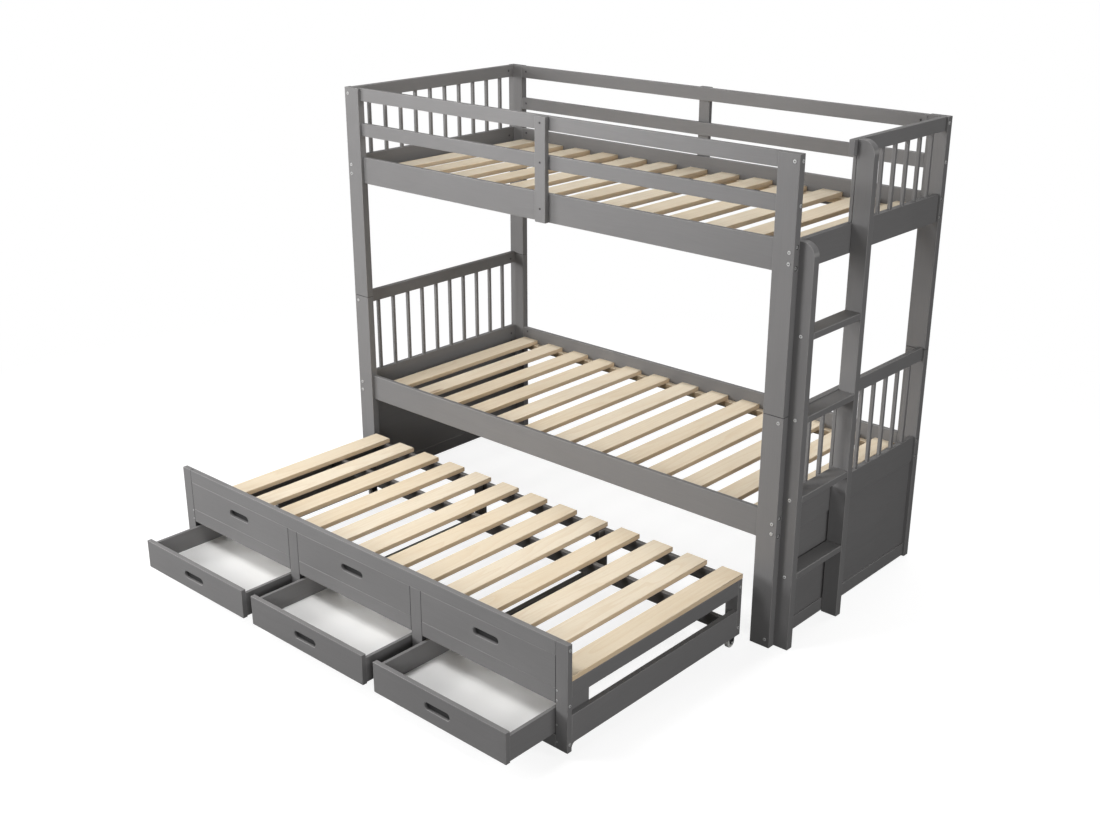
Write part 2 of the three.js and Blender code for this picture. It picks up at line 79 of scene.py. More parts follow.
def tone(code):
    """A colour written as six hex digits, in the linear values that Blender works with."""
    parts = [int(code[i:i + 2], 16) / 255 for i in (0, 2, 4)]
    return tuple(c / 12.92 if c <= 0.04045 else ((c + 0.055) / 1.055) ** 2.4 for c in parts) + (1.0,)


# Node helpers

FLOAT, VECTOR, WHOLE = "NodeSocketFloat", "NodeSocketVector", "NodeSocketInt"
ROTATION, GEOMETRY, MATERIAL = "NodeSocketRotation", "NodeSocketGeometry", "NodeSocketMaterial"


def node(tree, kind, inputs=None, **settings):
    """Adds a node, with its settings and with values or links for its inputs."""
    made = tree.nodes.new(kind)
    for key, value in settings.items():
        setattr(made, key, value)
    for key, value in (inputs or {}).items():
        if isinstance(value, bpy.types.NodeSocket):
            tree.links.new(value, made.inputs[key])
        else:
            made.inputs[key].default_value = value
    return made


def output(tree, kind, inputs=None, **settings):
    """Adds a node in the same way, and gives its first output."""
    return node(tree, kind, inputs, **settings).outputs[0]


def link_all(tree, inputs, values):
    """Links each value to the input with its label."""
    for label, value in values.items():
        tree.links.new(value, inputs[label])


def figure(tree, operation, *values, clamp=False):
    """A Math node's result."""
    return output(tree, "ShaderNodeMath", dict(enumerate(values)), operation=operation, use_clamp=clamp)


def vector_figure(tree, operation, *values):
    """A Vector Math node's vector."""
    return output(tree, "ShaderNodeVectorMath", dict(enumerate(values)), operation=operation)


def weighted_sum(tree, *parts):
    """Values added up, each times its own share."""
    total = 0.0
    for value, share in parts:
        total = figure(tree, "MULTIPLY_ADD", value, share, total)
    return total


def ramp(tree, value, low, high, out_low=0.0, out_high=1.0):
    """Maps a value from one range to another, held at the ends."""
    inputs = {"Value": value, "From Min": low, "From Max": high, "To Min": out_low, "To Max": out_high}
    return output(tree, "ShaderNodeMapRange", inputs)


def noise(tree, place, scale, detail, roughness=0.5, label="Fac"):
    """A Noise Texture's result."""
    inputs = {"Vector": place, "Scale": scale, "Detail": detail, "Roughness": roughness}
    return node(tree, "ShaderNodeTexNoise", inputs).outputs[label]


def stretched(tree, place, along, across):
    """A place with one scale along the grain and another across it."""
    scale = output(tree, "ShaderNodeCombineXYZ", {0: along, 1: across, 2: across})
    return vector_figure(tree, "MULTIPLY", place, scale)


def attribute(tree, name, label="Fac"):
    """What the points of a piece carry under this name."""
    return node(tree, "ShaderNodeAttribute", attribute_name=name).outputs[label]


def object_place(tree):
    """Places on the piece itself."""
    return node(tree, "ShaderNodeTexCoord").outputs["Object"]


def blend(tree, share, under, over):
    """One colour over another by a share. A Mix node has its factor at 0 and its colours at 6 and 7."""
    inputs = {0: share, 6: under, 7: over}
    return node(tree, "ShaderNodeMix", inputs, data_type="RGBA", clamp_factor=True).outputs[2]


def cloudy(tree, clouds, first, second):
    """Two tones that drift into each other."""
    return blend(tree, ramp(tree, clouds, 0.3, 0.7), tone(first), tone(second))


def layered(tree, colour, *layers):
    """A colour with others laid over it in order: where each lies, the most that it covers, and its tone."""
    for where, most, code in layers:
        colour = blend(tree, figure(tree, "MULTIPLY", where, most), colour, tone(code))
    return colour


def start_group(name, kind, inputs, outputs):
    """A node group with inputs and outputs of the given kinds, and the sockets of its two end nodes."""
    tree = bpy.data.node_groups.new(name, kind)
    for side, sockets in (("INPUT", inputs), ("OUTPUT", outputs)):
        for label, socket_kind in sockets.items():
            tree.interface.new_socket(label, in_out=side, socket_type=socket_kind)
    return tree, tree.nodes.new("NodeGroupInput").outputs, tree.nodes.new("NodeGroupOutput").inputs


def labelled(values):
    """The same values under the labels that sockets show: ring_count becomes Ring Count."""
    return {key.replace("_", " ").title(): value for key, value in values.items()}


def effect(tree, group, **values):
    """The outputs of a shared effect, placed in a material with its own values."""
    return node(tree, "ShaderNodeGroup", labelled(values), node_tree=group).outputs


# Shared effects

def wood_grain_group():
    """Sawn timber in a board's own directions: fine fibres, arcs of growth rings, pores and a few knots."""
    tree, given, ends = start_group("wood_grain", "ShaderNodeTree", {
        "Place": VECTOR, "Fibre Density": FLOAT, "Ring Density": FLOAT, "Ring Count": FLOAT,
        "Knot Share": FLOAT,
    }, {"Fibres": FLOAT, "Rings": FLOAT, "Pores": FLOAT, "Knots": FLOAT})
    place = given["Place"]
    sway = noise(tree, vector_figure(tree, "MULTIPLY", place, (1.6, 7, 7)), 1.0, 2.0, label="Color")
    lean = vector_figure(tree, "SUBTRACT", sway, (0.5, 0.5, 0.5))
    swayed = vector_figure(tree, "ADD", place, vector_figure(tree, "MULTIPLY", lean, (0.0, 0.05, 0.05)))

    knot_place = vector_figure(tree, "MULTIPLY", swayed, (2.4, 9, 9))
    cells = node(tree, "ShaderNodeTexVoronoi", {"Vector": knot_place, "Scale": 1.0}).outputs
    draw = output(tree, "ShaderNodeSeparateColor", {0: cells["Color"]})
    chosen = figure(tree, "LESS_THAN", draw, given["Knot Share"])
    knots = figure(tree, "MULTIPLY", ramp(tree, cells["Distance"], 0.06, 0.13, 1.0, 0.0), chosen)
    pull = figure(tree, "MULTIPLY", ramp(tree, cells["Distance"], 0.08, 0.5, 0.35, 0.0), chosen)

    years = noise(tree, stretched(tree, swayed, 0.9, given["Ring Density"]), 1.0, 1.5, 0.4)
    turn = figure(tree, "MULTIPLY", figure(tree, "ADD", years, pull), given["Ring Count"])
    saw = figure(tree, "FRACT", turn)
    rings = figure(tree, "MULTIPLY", figure(tree, "POWER", saw, 2.6), ramp(tree, saw, 0.93, 1.0, 1.0, 0.0))

    fibre_place = stretched(tree, swayed, 7.0, given["Fibre Density"])
    fibres = noise(tree, fibre_place, 1.0, 3.0, 0.62)
    pores = noise(tree, vector_figure(tree, "MULTIPLY", fibre_place, (3.0, 1.8, 1.8)), 1.0, 1.0)
    pores = ramp(tree, pores, 0.62, 0.72)
    link_all(tree, ends, {"Fibres": fibres, "Rings": rings, "Pores": pores, "Knots": knots})
    return tree


def edge_wear_group():
    """Where hands and cartons rub: patches along the eased edges of a piece."""
    tree, given, ends = start_group("edge_wear", "ShaderNodeTree", {
        "Edge": FLOAT, "Place": VECTOR, "Patch Size": FLOAT, "Share": FLOAT,
    }, {"Wear": FLOAT})
    rub = noise(tree, given["Place"], figure(tree, "DIVIDE", 1.0, given["Patch Size"]), 4.0, 0.65)
    limit = figure(tree, "SUBTRACT", 1.0, given["Share"])
    patch = ramp(tree, rub, figure(tree, "SUBTRACT", limit, 0.12), figure(tree, "ADD", limit, 0.12))
    link_all(tree, ends, {"Wear": figure(tree, "MULTIPLY", patch, given["Edge"], clamp=True)})
    return tree


def settled_dust_group():
    """Faint dust on what faces up, and the cloudy unevenness of a sprayed or moulded surface."""
    tree, given, ends = start_group("settled_dust", "ShaderNodeTree", {
        "Place": VECTOR, "Cloud Size": FLOAT, "Dust": FLOAT,
    }, {"Dust": FLOAT, "Clouds": FLOAT})
    clouds = noise(tree, given["Place"], figure(tree, "DIVIDE", 1.0, given["Cloud Size"]), 3.0, 0.55)
    normal = node(tree, "ShaderNodeNewGeometry").outputs["Normal"]
    up = ramp(tree, node(tree, "ShaderNodeSeparateXYZ", {0: normal}).outputs["Z"], 0.5, 1.0)
    film = figure(tree, "MULTIPLY", up, ramp(tree, clouds, 0.35, 0.7))
    link_all(tree, ends, {"Dust": figure(tree, "MULTIPLY", film, given["Dust"]), "Clouds": clouds})
    return tree


WOOD_GRAIN, EDGE_WEAR, SETTLED_DUST = wood_grain_group(), edge_wear_group(), settled_dust_group()


# Finishes

def start_finish(name, constants):
    """A material with its node tree. Its unchanging values are set on the shader's own sockets."""
    material = bpy.data.materials.new(name)
    material.use_nodes = True
    for label, value in constants.items():
        material.node_tree.nodes["Principled BSDF"].inputs[label].default_value = value
    return material, material.node_tree


def end_finish(material, colour, roughness, height, depth, strength):
    """Links a finish's colour, roughness and raised surface to its shader."""
    tree = material.node_tree
    bump = output(tree, "ShaderNodeBump", {"Height": height, "Distance": depth, "Strength": strength})
    surface = {"Base Color": colour, "Roughness": roughness, "Normal": bump}
    link_all(tree, tree.nodes["Principled BSDF"].inputs, surface)
    return material


def satin_paint():
    """Grey satin paint sprayed on softwood: the fibres just show, and eased edges carry a lighter painted
    highlight.
    """
    material, tree = start_finish("satin_grey_paint", {"Specular IOR Level": 0.45})
    place, edge = attribute(tree, "board_place", "Vector"), attribute(tree, "board_edge")
    grain = effect(tree, WOOD_GRAIN, place=place, fibre_density=260.0, ring_density=9.0, ring_count=5.0,
                   knot_share=0.05)
    wear = effect(tree, EDGE_WEAR, edge=edge, place=place, patch_size=0.06, share=0.58)["Wear"]
    dust = effect(tree, SETTLED_DUST, place=place, cloud_size=0.16, dust=0.22)
    # The dark 262627 lays real joint lines and painted shade inside the routed recesses.
    shade, joint_and_recess_shade = attribute(tree, "board_shade"), attribute(tree, "board_joint")
    depth = weighted_sum(tree, (grain["Fibres"], 0.45), (dust["Clouds"], 0.35), (shade, 0.35))
    colour = blend(tree, ramp(tree, depth, 0.25, 0.9), tone("6e6d6d"), tone("797878"))
    # The lighter 979696 laid along every eased edge is a painted highlight.
    colour = layered(
        tree, colour, (grain["Rings"], 0.10, "646364"), (grain["Knots"], 0.16, "605f60"),
        (edge, 0.28, "979696"), (wear, 0.35, "a5a3a0"), (dust["Dust"], 1.0, "8b8987"), (joint_and_recess_shade, 0.9, "262627"))
    satin = ramp(tree, dust["Clouds"], 0.3, 0.7, 0.40, 0.50)
    roughness = weighted_sum(tree, (satin, 1.0), (grain["Pores"], 0.08), (dust["Dust"], 0.25))
    peel = noise(tree, place, 700.0, 1.0)
    height = weighted_sum(tree, (grain["Fibres"], 0.7), (peel, 0.3), (grain["Rings"], -0.35))
    return end_finish(material, colour, roughness, height, 0.0003, 0.5)


def planed_softwood():
    """Unfinished planed slats: pale early wood, tan late wood, some knots, darker ends, and long sides
    darkened, partly as sawn faces and partly as painted shade.
    """
    material, tree = start_finish("planed_softwood", {"Specular IOR Level": 0.3})
    place, edge = attribute(tree, "board_place", "Vector"), attribute(tree, "board_edge")
    grain = effect(tree, WOOD_GRAIN, place=place, fibre_density=420.0, ring_density=13.0, ring_count=9.0,
                   knot_share=0.13)
    wear = effect(tree, EDGE_WEAR, edge=edge, place=place, patch_size=0.03, share=0.45)["Wear"]
    dust = effect(tree, SETTLED_DUST, place=place, cloud_size=0.10, dust=0.1)
    normal = node(tree, "ShaderNodeNewGeometry").outputs["Normal"]
    ends = {0: attribute(tree, "board_along", "Vector"), 1: normal}
    facing = node(tree, "ShaderNodeVectorMath", ends, operation="DOT_PRODUCT").outputs["Value"]
    end_grain = ramp(tree, figure(tree, "ABSOLUTE", facing), 0.8, 0.95)
    upward = node(tree, "ShaderNodeSeparateXYZ", {0: normal}).outputs["Z"]
    # Faces turned sideways are darkened, partly as sawn faces and partly as painted shade.
    sawn_side_and_painted_shade = ramp(tree, figure(tree, "ABSOLUTE", upward), 0.4, 0.85, 1.0, 0.0)
    colour = blend(tree, attribute(tree, "board_shade"), tone("e8d9c0"), tone("f0e5d1"))
    colour = layered(
        tree, colour, (ramp(tree, dust["Clouds"], 0.3, 0.75), 0.40, "e6d5ba"),
        (grain["Rings"], 0.27, "cfae82"), (ramp(tree, grain["Fibres"], 0.35, 0.75), 0.24, "d8c09b"),
        (grain["Pores"], 0.16, "b29270"), (grain["Knots"], 0.6, "97704a"), (wear, 0.35, "f1e6d2"),
        (sawn_side_and_painted_shade, 0.45, "c6a57a"), (end_grain, 0.55, "b8946a"), (dust["Dust"], 1.0, "efe9dd"))
    planed = ramp(tree, grain["Rings"], 0.0, 1.0, 0.66, 0.54)
    roughness = weighted_sum(tree, (planed, 1.0), (end_grain, 0.2))
    height = weighted_sum(tree, (grain["Fibres"], 0.8), (grain["Pores"], -0.5), (grain["Rings"], 0.3))
    return end_finish(material, colour, roughness, height, 0.0003, 0.7)


def white_board():
    """The drawers' white faced board: a fine pressed texture, a little greyer in patches."""
    material, tree = start_finish("white_faced_board", {"Specular IOR Level": 0.4})
    place, edge = attribute(tree, "board_place", "Vector"), attribute(tree, "board_edge")
    dust = effect(tree, SETTLED_DUST, place=place, cloud_size=0.2, dust=0.3)
    wear = effect(tree, EDGE_WEAR, edge=edge, place=place, patch_size=0.02, share=0.5)["Wear"]
    colour = cloudy(tree, dust["Clouds"], "eeeeed", "f5f5f5")
    colour = layered(tree, colour, (dust["Dust"], 1.0, "dedcd7"), (wear, 0.4, "cfc6b6"))
    pressed = noise(tree, place, 900.0, 2.0)
    return end_finish(material, colour, ramp(tree, pressed, 0.3, 0.7, 0.38, 0.52), pressed, 0.0001, 0.5)


def zinc_plate(name, bright, dull, scuff_share, metallic):
    """Zinc-plated fittings, with cloudy plating, scuffs, and painted shade inside their drives."""
    material, tree = start_finish(name, {"Metallic": metallic})
    place = object_place(tree)
    clouds = effect(tree, SETTLED_DUST, place=place, cloud_size=0.004, dust=0.2)["Clouds"]
    scuff = noise(tree, vector_figure(tree, "MULTIPLY", place, (900, 900, 2500)), 1.0, 2.0)
    colour = cloudy(tree, clouds, bright, dull)
    # The drive faces take 1d1d1f, a painted shade inside the drive.
    colour = layered(tree, colour, (ramp(tree, scuff, 0.55, 0.8), scuff_share, "e4e3df"),
                     (attribute(tree, "drive"), 0.9, "1d1d1f"))
    roughness = ramp(tree, figure(tree, "ADD", scuff, clouds), 0.6, 1.4, 0.26, 0.46)
    return end_finish(material, colour, roughness, scuff, 0.00005, 0.5)


def black_housing():
    """Black coated caster brackets, scraped along their edges and dusty near the floor."""
    material, tree = start_finish("black_caster_housing", {"Specular IOR Level": 0.5})
    place, edge = object_place(tree), attribute(tree, "board_edge")
    wear = effect(tree, EDGE_WEAR, edge=edge, place=place, patch_size=0.004, share=0.45)["Wear"]
    dust = effect(tree, SETTLED_DUST, place=place, cloud_size=0.012, dust=0.5)
    colour = cloudy(tree, dust["Clouds"], "1b1b1d", "262628")
    colour = layered(tree, colour, (wear, 1.0, "6d6c6a"), (dust["Dust"], 1.0, "6a6762"))
    speckle = noise(tree, place, 1500.0, 2.0)
    return end_finish(material, colour, ramp(tree, speckle, 0.3, 0.7, 0.34, 0.52), speckle, 0.00012, 0.5)


def wheel_plastic():
    """Pale grey moulded wheels, scuffed and greyed on the tread."""
    material, tree = start_finish("pale_wheel_plastic", {"Specular IOR Level": 0.4})
    place = object_place(tree)
    dust = effect(tree, SETTLED_DUST, place=place, cloud_size=0.008, dust=0.3)
    scuffs = noise(tree, vector_figure(tree, "MULTIPLY", place, (1800, 300, 300)), 1.0, 3.0)
    colour = cloudy(tree, dust["Clouds"], "bdbdba", "cececb")
    colour = layered(
        tree, colour, (ramp(tree, scuffs, 0.35, 0.65, 0.25, 0.8), attribute(tree, "wheel_tread"), "8b8a86"),
        (dust["Dust"], 1.0, "a8a49c"))
    return end_finish(material, colour, ramp(tree, scuffs, 0.3, 0.7, 0.42, 0.62), scuffs, 0.0001, 0.6)


PAINT, SOFTWOOD, WHITE_BOARD = satin_paint(), planed_softwood(), white_board()
ZINC = zinc_plate("zinc_plated_steel", "e2e2e0", "b9babb", 0.4, 0.35)
DARK_ZINC = zinc_plate("dark_zinc", "5a5a5c", "3c3c3e", 0.2, 0.9)
HOUSING, WHEEL_PLASTIC = black_housing(), wheel_plastic()


# Meshes

def plain_mesh(name, points, faces, flat):
    """A mesh from its points and faces, where flat says for each face whether it is shaded flat."""
    mesh = bpy.data.meshes.new(name)
    mesh.from_pydata([tuple(p) for p in points], [], faces)
    mesh.polygons.foreach_set("use_smooth", [not f for f in flat])
    return mesh


def mesh_lists(mesh):
    """A mesh's points, its faces, and which of the faces are shaded flat."""
    points = np.array([v.co for v in mesh.vertices], float).reshape(-1, 3)
    return points, [list(p.vertices) for p in mesh.polygons], [not p.use_smooth for p in mesh.polygons]


def plain_object(name, data):
    """An object in the scene for a mesh, a lamp or a camera."""
    made = bpy.data.objects.new(name, data)
    bpy.context.scene.collection.objects.link(made)
    return made


def finished_mesh(item):
    """The plain mesh of an object with its modifiers worked in."""
    bpy.context.view_layer.update()
    return bpy.data.meshes.new_from_object(item.evaluated_get(bpy.context.evaluated_depsgraph_get()))


def worked_mesh(bm, name):
    """A new mesh with what was worked out in a bmesh, which ends there."""
    mesh = bpy.data.meshes.new(name)
    bm.to_mesh(mesh)
    bm.free()
    return mesh


def ease_edges(bm, edges, ease, clamp=False):
    """Rounds edges in two steps and gives the new faces."""
    return bmesh.ops.bevel(bm, geom=edges, offset=ease, segments=2, profile=0.5, affect="EDGES",
                           clamp_overlap=clamp)["faces"]


def turn_outwards(mesh, is_round):
    """Turns a mesh's faces outwards, and shades those smooth that are round."""
    bm = bmesh.new()
    bm.from_mesh(mesh)
    bmesh.ops.recalc_face_normals(bm, faces=bm.faces[:])
    for f in bm.faces:
        f.smooth = is_round(f)
    bm.to_mesh(mesh)
    bm.free()


def is_eased(face):
    """Whether a face is on a board's eased edges, and so faces along no axis."""
    return max(abs(c) for c in face.normal) < 0.9999


def ring_faces(rings, count, joined=False):
    """The faces between rings of count points each. Where joined, the last ring meets the first."""
    faces = []
    for k in range(rings if joined else rings - 1):
        after = (k + 1) % rings * count
        faces += [[k * count + i, k * count + (i + 1) % count, after + (i + 1) % count, after + i]
                  for i in range(count)]
    return faces


def carry(mesh, name, values):
    """Stores a number or a vector for each point of a mesh, for a finish or a tree to read."""
    values = np.asarray(values, np.float32)
    kind, key = ("FLOAT_VECTOR", "vector") if values.ndim == 2 else ("FLOAT", "value")
    mesh.attributes.new(name, kind, "POINT").data.foreach_set(key, values.ravel())


def settle(name, mesh, body, node_name=None):
    """A finished piece: it rides on its body, and stands for its CAD node if it has one."""
    piece = plain_object(name, mesh)
    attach(piece, body)
    if node_name:
        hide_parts(node_name)


# Boards

Board = namedtuple("Board", "points faces flat low high along ease routed butts", defaults=(False, ()))
AXES = {"x": 0, "y": 1, "z": 2}


def eased_corner_pattern():
    """An eased board worked out once: the corner of each point, how far in it sits, and the faces."""
    inset = 0.5
    bm = bmesh.new()
    bmesh.ops.create_cube(bm, size=2)
    ease_edges(bm, bm.edges[:], inset)
    bm.verts.index_update()
    points = np.array([v.co for v in bm.verts])
    faces = [[v.index for v in f.verts] for f in bm.faces]
    flat = [f.calc_area() > 0.9 for f in bm.faces]
    bm.free()
    return np.sign(points), (1 - np.abs(points)) / inset, faces, flat


CORNER_SIGNS, CORNER_INSETS, BOARD_FACES, BOARD_FLATS = eased_corner_pattern()


def board(low, high, along, ease=EDGE_EASE):
    """A straight board between two corners, with its edges eased and its grain along one axis."""
    low, high = np.minimum(low, high), np.maximum(low, high)
    inset = CORNER_INSETS * ease
    points = np.where(CORNER_SIGNS > 0, high - inset, low + inset)
    return Board(points, BOARD_FACES, BOARD_FLATS, low, high, along, ease)


def drawn_board(x, y, z, along, ease=EDGE_EASE):
    """A board given by its ends on each axis of the maker's drawing, in millimetres."""
    return board(spot(x[0], y[0], z[0]), spot(x[1], y[1], z[1]), along, ease)


def centred(middle, half):
    """The two ends of what lies evenly about a middle."""
    return middle - half, middle + half


def butted(item, *ends):
    """The same board, with the ends marked that butt on a neighbour: an axis and a side each."""
    return item._replace(butts=ends)


def node_board(name, along, ease=EDGE_EASE):
    """The board that fills a CAD node's box."""
    return board(*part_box(name), along, ease)


def router_bit(centre, facing, reach, radius, depth):
    """What a router takes out: a round or long recess with an eased rim. facing points out of the board."""
    out = Vector(facing)
    side = Vector((1, 0, 0)) if abs(out.y) > 0.5 else Vector((0, 1, 0))
    lip, quarter, above, steps = EDGE_EASE, 0.2929 * EDGE_EASE, 0.002, 10
    rings = [(radius + lip, above), (radius + lip, 0.0), (radius + quarter, -quarter), (radius, -lip),
             (radius, -depth)]
    outline = []
    for shift, start in ((reach, -math.pi / 2), (-reach, math.pi / 2)):
        for i in range(steps + (1 if reach else 0)):
            angle = start + math.pi * i / steps
            outline.append((shift, math.cos(angle), math.sin(angle)))
    count, points = len(outline), []
    for r, level in rings:
        for shift, c, s in outline:
            points.append(centre + side * (shift + r * c) + Vector((0, 0, r * s)) + out * level)
    ends = [list(range(count)), list(range(len(points) - count, len(points)))]
    return points, ring_faces(len(rings), count) + ends


def routed(plain, bits):
    """A board after the router bits have been through it."""
    work = plain_object("board_blank", plain_mesh("board_blank", plain.points, plain.faces, plain.flat))
    bm = bmesh.new()
    for points, faces in bits:
        corners = [bm.verts.new(p) for p in points]
        for f in faces:
            bm.faces.new([corners[i] for i in f]).smooth = len(f) == 4
    bmesh.ops.recalc_face_normals(bm, faces=bm.faces[:])
    cutter = plain_object("router_bits", worked_mesh(bm, "router_bits"))
    cut = work.modifiers.new("routed", "BOOLEAN")
    cut.operation, cut.solver, cut.object = "DIFFERENCE", "EXACT", cutter
    points, faces, flat = mesh_lists(finished_mesh(work))
    bpy.data.objects.remove(work)
    bpy.data.objects.remove(cutter)
    return plain._replace(points=points, faces=faces, flat=flat, routed=True)


def finger_pocket(x, y, z, depth):
    """The router bit for a finger pocket in a front, in the maker's drawing."""
    return router_bit(spot(x, y, z), (0, -1, 0), POCKET_REACH, POCKET_RADIUS, depth)


def shaped_board(outline, axis, start, end, along, ease=EDGE_EASE):
    """A board cut to an outline in the two other axes, in order, and eased all round."""
    first, second = [i for i in range(3) if i != axis]
    bm = bmesh.new()
    loops = []
    for level in (start, end):
        loop = []
        for a, b in outline:
            place = [0.0, 0.0, 0.0]
            place[axis], place[first], place[second] = level, a, b
            loop.append(bm.verts.new(place))
        bm.faces.new(loop)
        loops.append(loop)
    for near, far in zip(zip(*loops), zip(*(loop[1:] + loop[:1] for loop in loops))):
        bm.faces.new([near[0], far[0], far[1], near[1]])
    bmesh.ops.recalc_face_normals(bm, faces=bm.faces[:])
    ease_edges(bm, [e for e in bm.edges if e.calc_face_angle(0) > 0.5], ease)
    for f in bm.faces:
        f.smooth = is_eased(f)
    points, faces, flat = mesh_lists(worked_mesh(bm, "shaped_board"))
    return Board(points, faces, flat, points.min(0), points.max(0), along, ease)


def board_marks(item, luck):
    """A board's place, grain direction, shade, eased edges, and dark joints with painted shade deep in routed
    recesses, for its finish to read.
    """
    first = AXES[item.along]
    order = [first] + [i for i in range(3) if i != first]
    offset = np.array([luck.uniform(0, 9) for _ in range(3)])
    place = (item.points - item.low)[:, order] + offset
    along = np.zeros_like(item.points)
    along[:, first] = 1
    inside = np.minimum(item.points - item.low, item.high - item.points)
    edge = ((inside > 0.1 * item.ease) & (inside < 0.9 * item.ease)).any(1).astype(float)
    # Points deep in a routed board's recesses are marked for painted shade, darkest on the recess floors.
    joint_and_recess_shade = (inside.min(1) > 1.5 * item.ease).astype(float) if item.routed else np.zeros(len(item.points))
    for name, side in item.butts:
        axis = AXES[name]
        end = (item.high if side > 0 else item.low)[axis]
        joint_and_recess_shade[np.abs(item.points[:, axis] - end) < 0.9 * item.ease] = 1
    return place, along, np.full(len(item.points), luck.random()), edge * (1 - joint_and_recess_shade), joint_and_recess_shade


MARKS = ("board_place", "board_along", "board_shade", "board_edge", "board_joint")
WAYS = {
    "painted": ("painted_wood", PAINT),
    "planed": ("natural_wood", SOFTWOOD),
    "faced": ("white_board", WHITE_BOARD),
}


def make_piece(node_name, way, body, boards):
    """The piece that stands for a CAD node: its boards as one mesh, painted, planed or faced."""
    name = f"{node_name}_{way}"
    slot_name, material = WAYS[way]
    points, faces, flat, marks = [], [], [], []
    luck = random.Random(name)
    start = 0
    for item in boards:
        points.append(item.points)
        faces += [[i + start for i in f] for f in item.faces]
        flat += item.flat
        marks.append(board_marks(item, luck))
        start += len(item.points)
    mesh = plain_mesh(name, np.concatenate(points), faces, flat)
    for mark, values in zip(MARKS, zip(*marks)):
        carry(mesh, mark, np.concatenate(values))
    mesh.materials.append(material)
    settle(name, mesh, body, node_name)


def painted(node_name, body, boards):
    """A painted piece in place of the CAD node of that name."""
    make_piece(node_name, "painted", body, boards)


# Geometry Nodes: rows of boards, and fittings

def set_on_points(tree, places, shape, rotation, finish, end):
    """Sets a shape on points, makes the copies real, and gives them their finish."""
    copies = {"Points": places, "Instance": shape, "Rotation": rotation}
    spread = output(tree, "GeometryNodeInstanceOnPoints", copies)
    real = output(tree, "GeometryNodeRealizeInstances", {0: spread})
    tree.links.new(output(tree, "GeometryNodeSetMaterial", {"Geometry": real, "Material": finish}), end)


def board_row_tree():
    """A row of equal boards with their long edges eased: slats and spindles."""
    tree, given, ends = start_group("board_row", "GeometryNodeTree", {
        "Count": WHOLE, "Width": FLOAT, "Thickness": FLOAT, "Length": FLOAT, "Ease": FLOAT, "First": VECTOR,
        "Step": VECTOR, "Turn": ROTATION, "Finish": MATERIAL,
    }, {"Boards": GEOMETRY})
    section = {"Width": given["Width"], "Height": given["Thickness"]}
    outline = output(tree, "GeometryNodeCurvePrimitiveQuadrilateral", section)
    corners = {"Curve": outline, "Count": 2, "Radius": given["Ease"]}
    rounded = output(tree, "GeometryNodeFilletCurve", corners, mode="POLY")
    cap = output(tree, "GeometryNodeFillCurve", {"Curve": rounded}, mode="NGONS")
    push = output(tree, "ShaderNodeCombineXYZ", {2: given["Length"]})
    lengthened = {"Mesh": cap, "Offset": push, "Offset Scale": 1.0, "Individual": False}
    both = node(tree, "GeometryNodeJoinGeometry")
    tree.links.new(output(tree, "GeometryNodeExtrudeMesh", lengthened), both.inputs[0])
    tree.links.new(output(tree, "GeometryNodeFlipFaces", {"Mesh": cap}), both.inputs[0])
    closed = output(tree, "GeometryNodeMergeByDistance", {"Geometry": both.outputs[0], "Distance": 1e-6})
    steps = {0: given["Step"], "Scale": output(tree, "GeometryNodeInputIndex")}
    shift = output(tree, "ShaderNodeVectorMath", steps, operation="SCALE")
    places = output(tree, "GeometryNodeSetPosition", {
        "Geometry": output(tree, "GeometryNodePoints", {"Count": given["Count"]}),
        "Position": vector_figure(tree, "ADD", given["First"], shift),
    })
    set_on_points(tree, places, closed, given["Turn"], given["Finish"], ends["Boards"])
    return tree


def grow(tree, values, mesh):
    """The plain mesh that a Geometry Nodes tree makes from a mesh and its inputs."""
    seed = plain_object("tree_seed", mesh)
    modifier = seed.modifiers.new("tree", "NODES")
    modifier.node_group = tree
    sockets = [s for s in tree.interface.items_tree if s.item_type == "SOCKET" and s.in_out == "INPUT"]
    for socket in sockets:
        if socket.name in values:
            modifier[socket.identifier] = values[socket.name]
    grown = finished_mesh(seed)
    bpy.data.objects.remove(seed)
    return grown


BOARD_ROW = board_row_tree()


def board_row(count, along, ease, **values):
    """A row of boards as a list, one for each slat or spindle."""
    values = {**labelled(values), "Count": count, "Ease": ease}
    mesh = grow(BOARD_ROW, values, bpy.data.meshes.new("tree_seed"))
    turn_outwards(mesh, is_eased)
    points, faces, flat = mesh_lists(mesh)
    each, boards = len(points) // count, []
    for i in range(count):
        own = [k for k, f in enumerate(faces) if f[0] // each == i]
        part = points[i * each:(i + 1) * each]
        boards.append(Board(part, [[v - i * each for v in faces[k]] for k in own], [flat[k] for k in own],
                            part.min(0), part.max(0), along, ease))
    return boards


def slat_row(first, step, length):
    """A deck's thirteen slats, laid from front to back."""
    return board_row(13, "y", SLAT_EASE, width=0.086, thickness=0.018, length=length, first=first,
                     step=(step, 0, 0), turn=(-math.pi / 2, 0, 0), finish=SOFTWOOD)


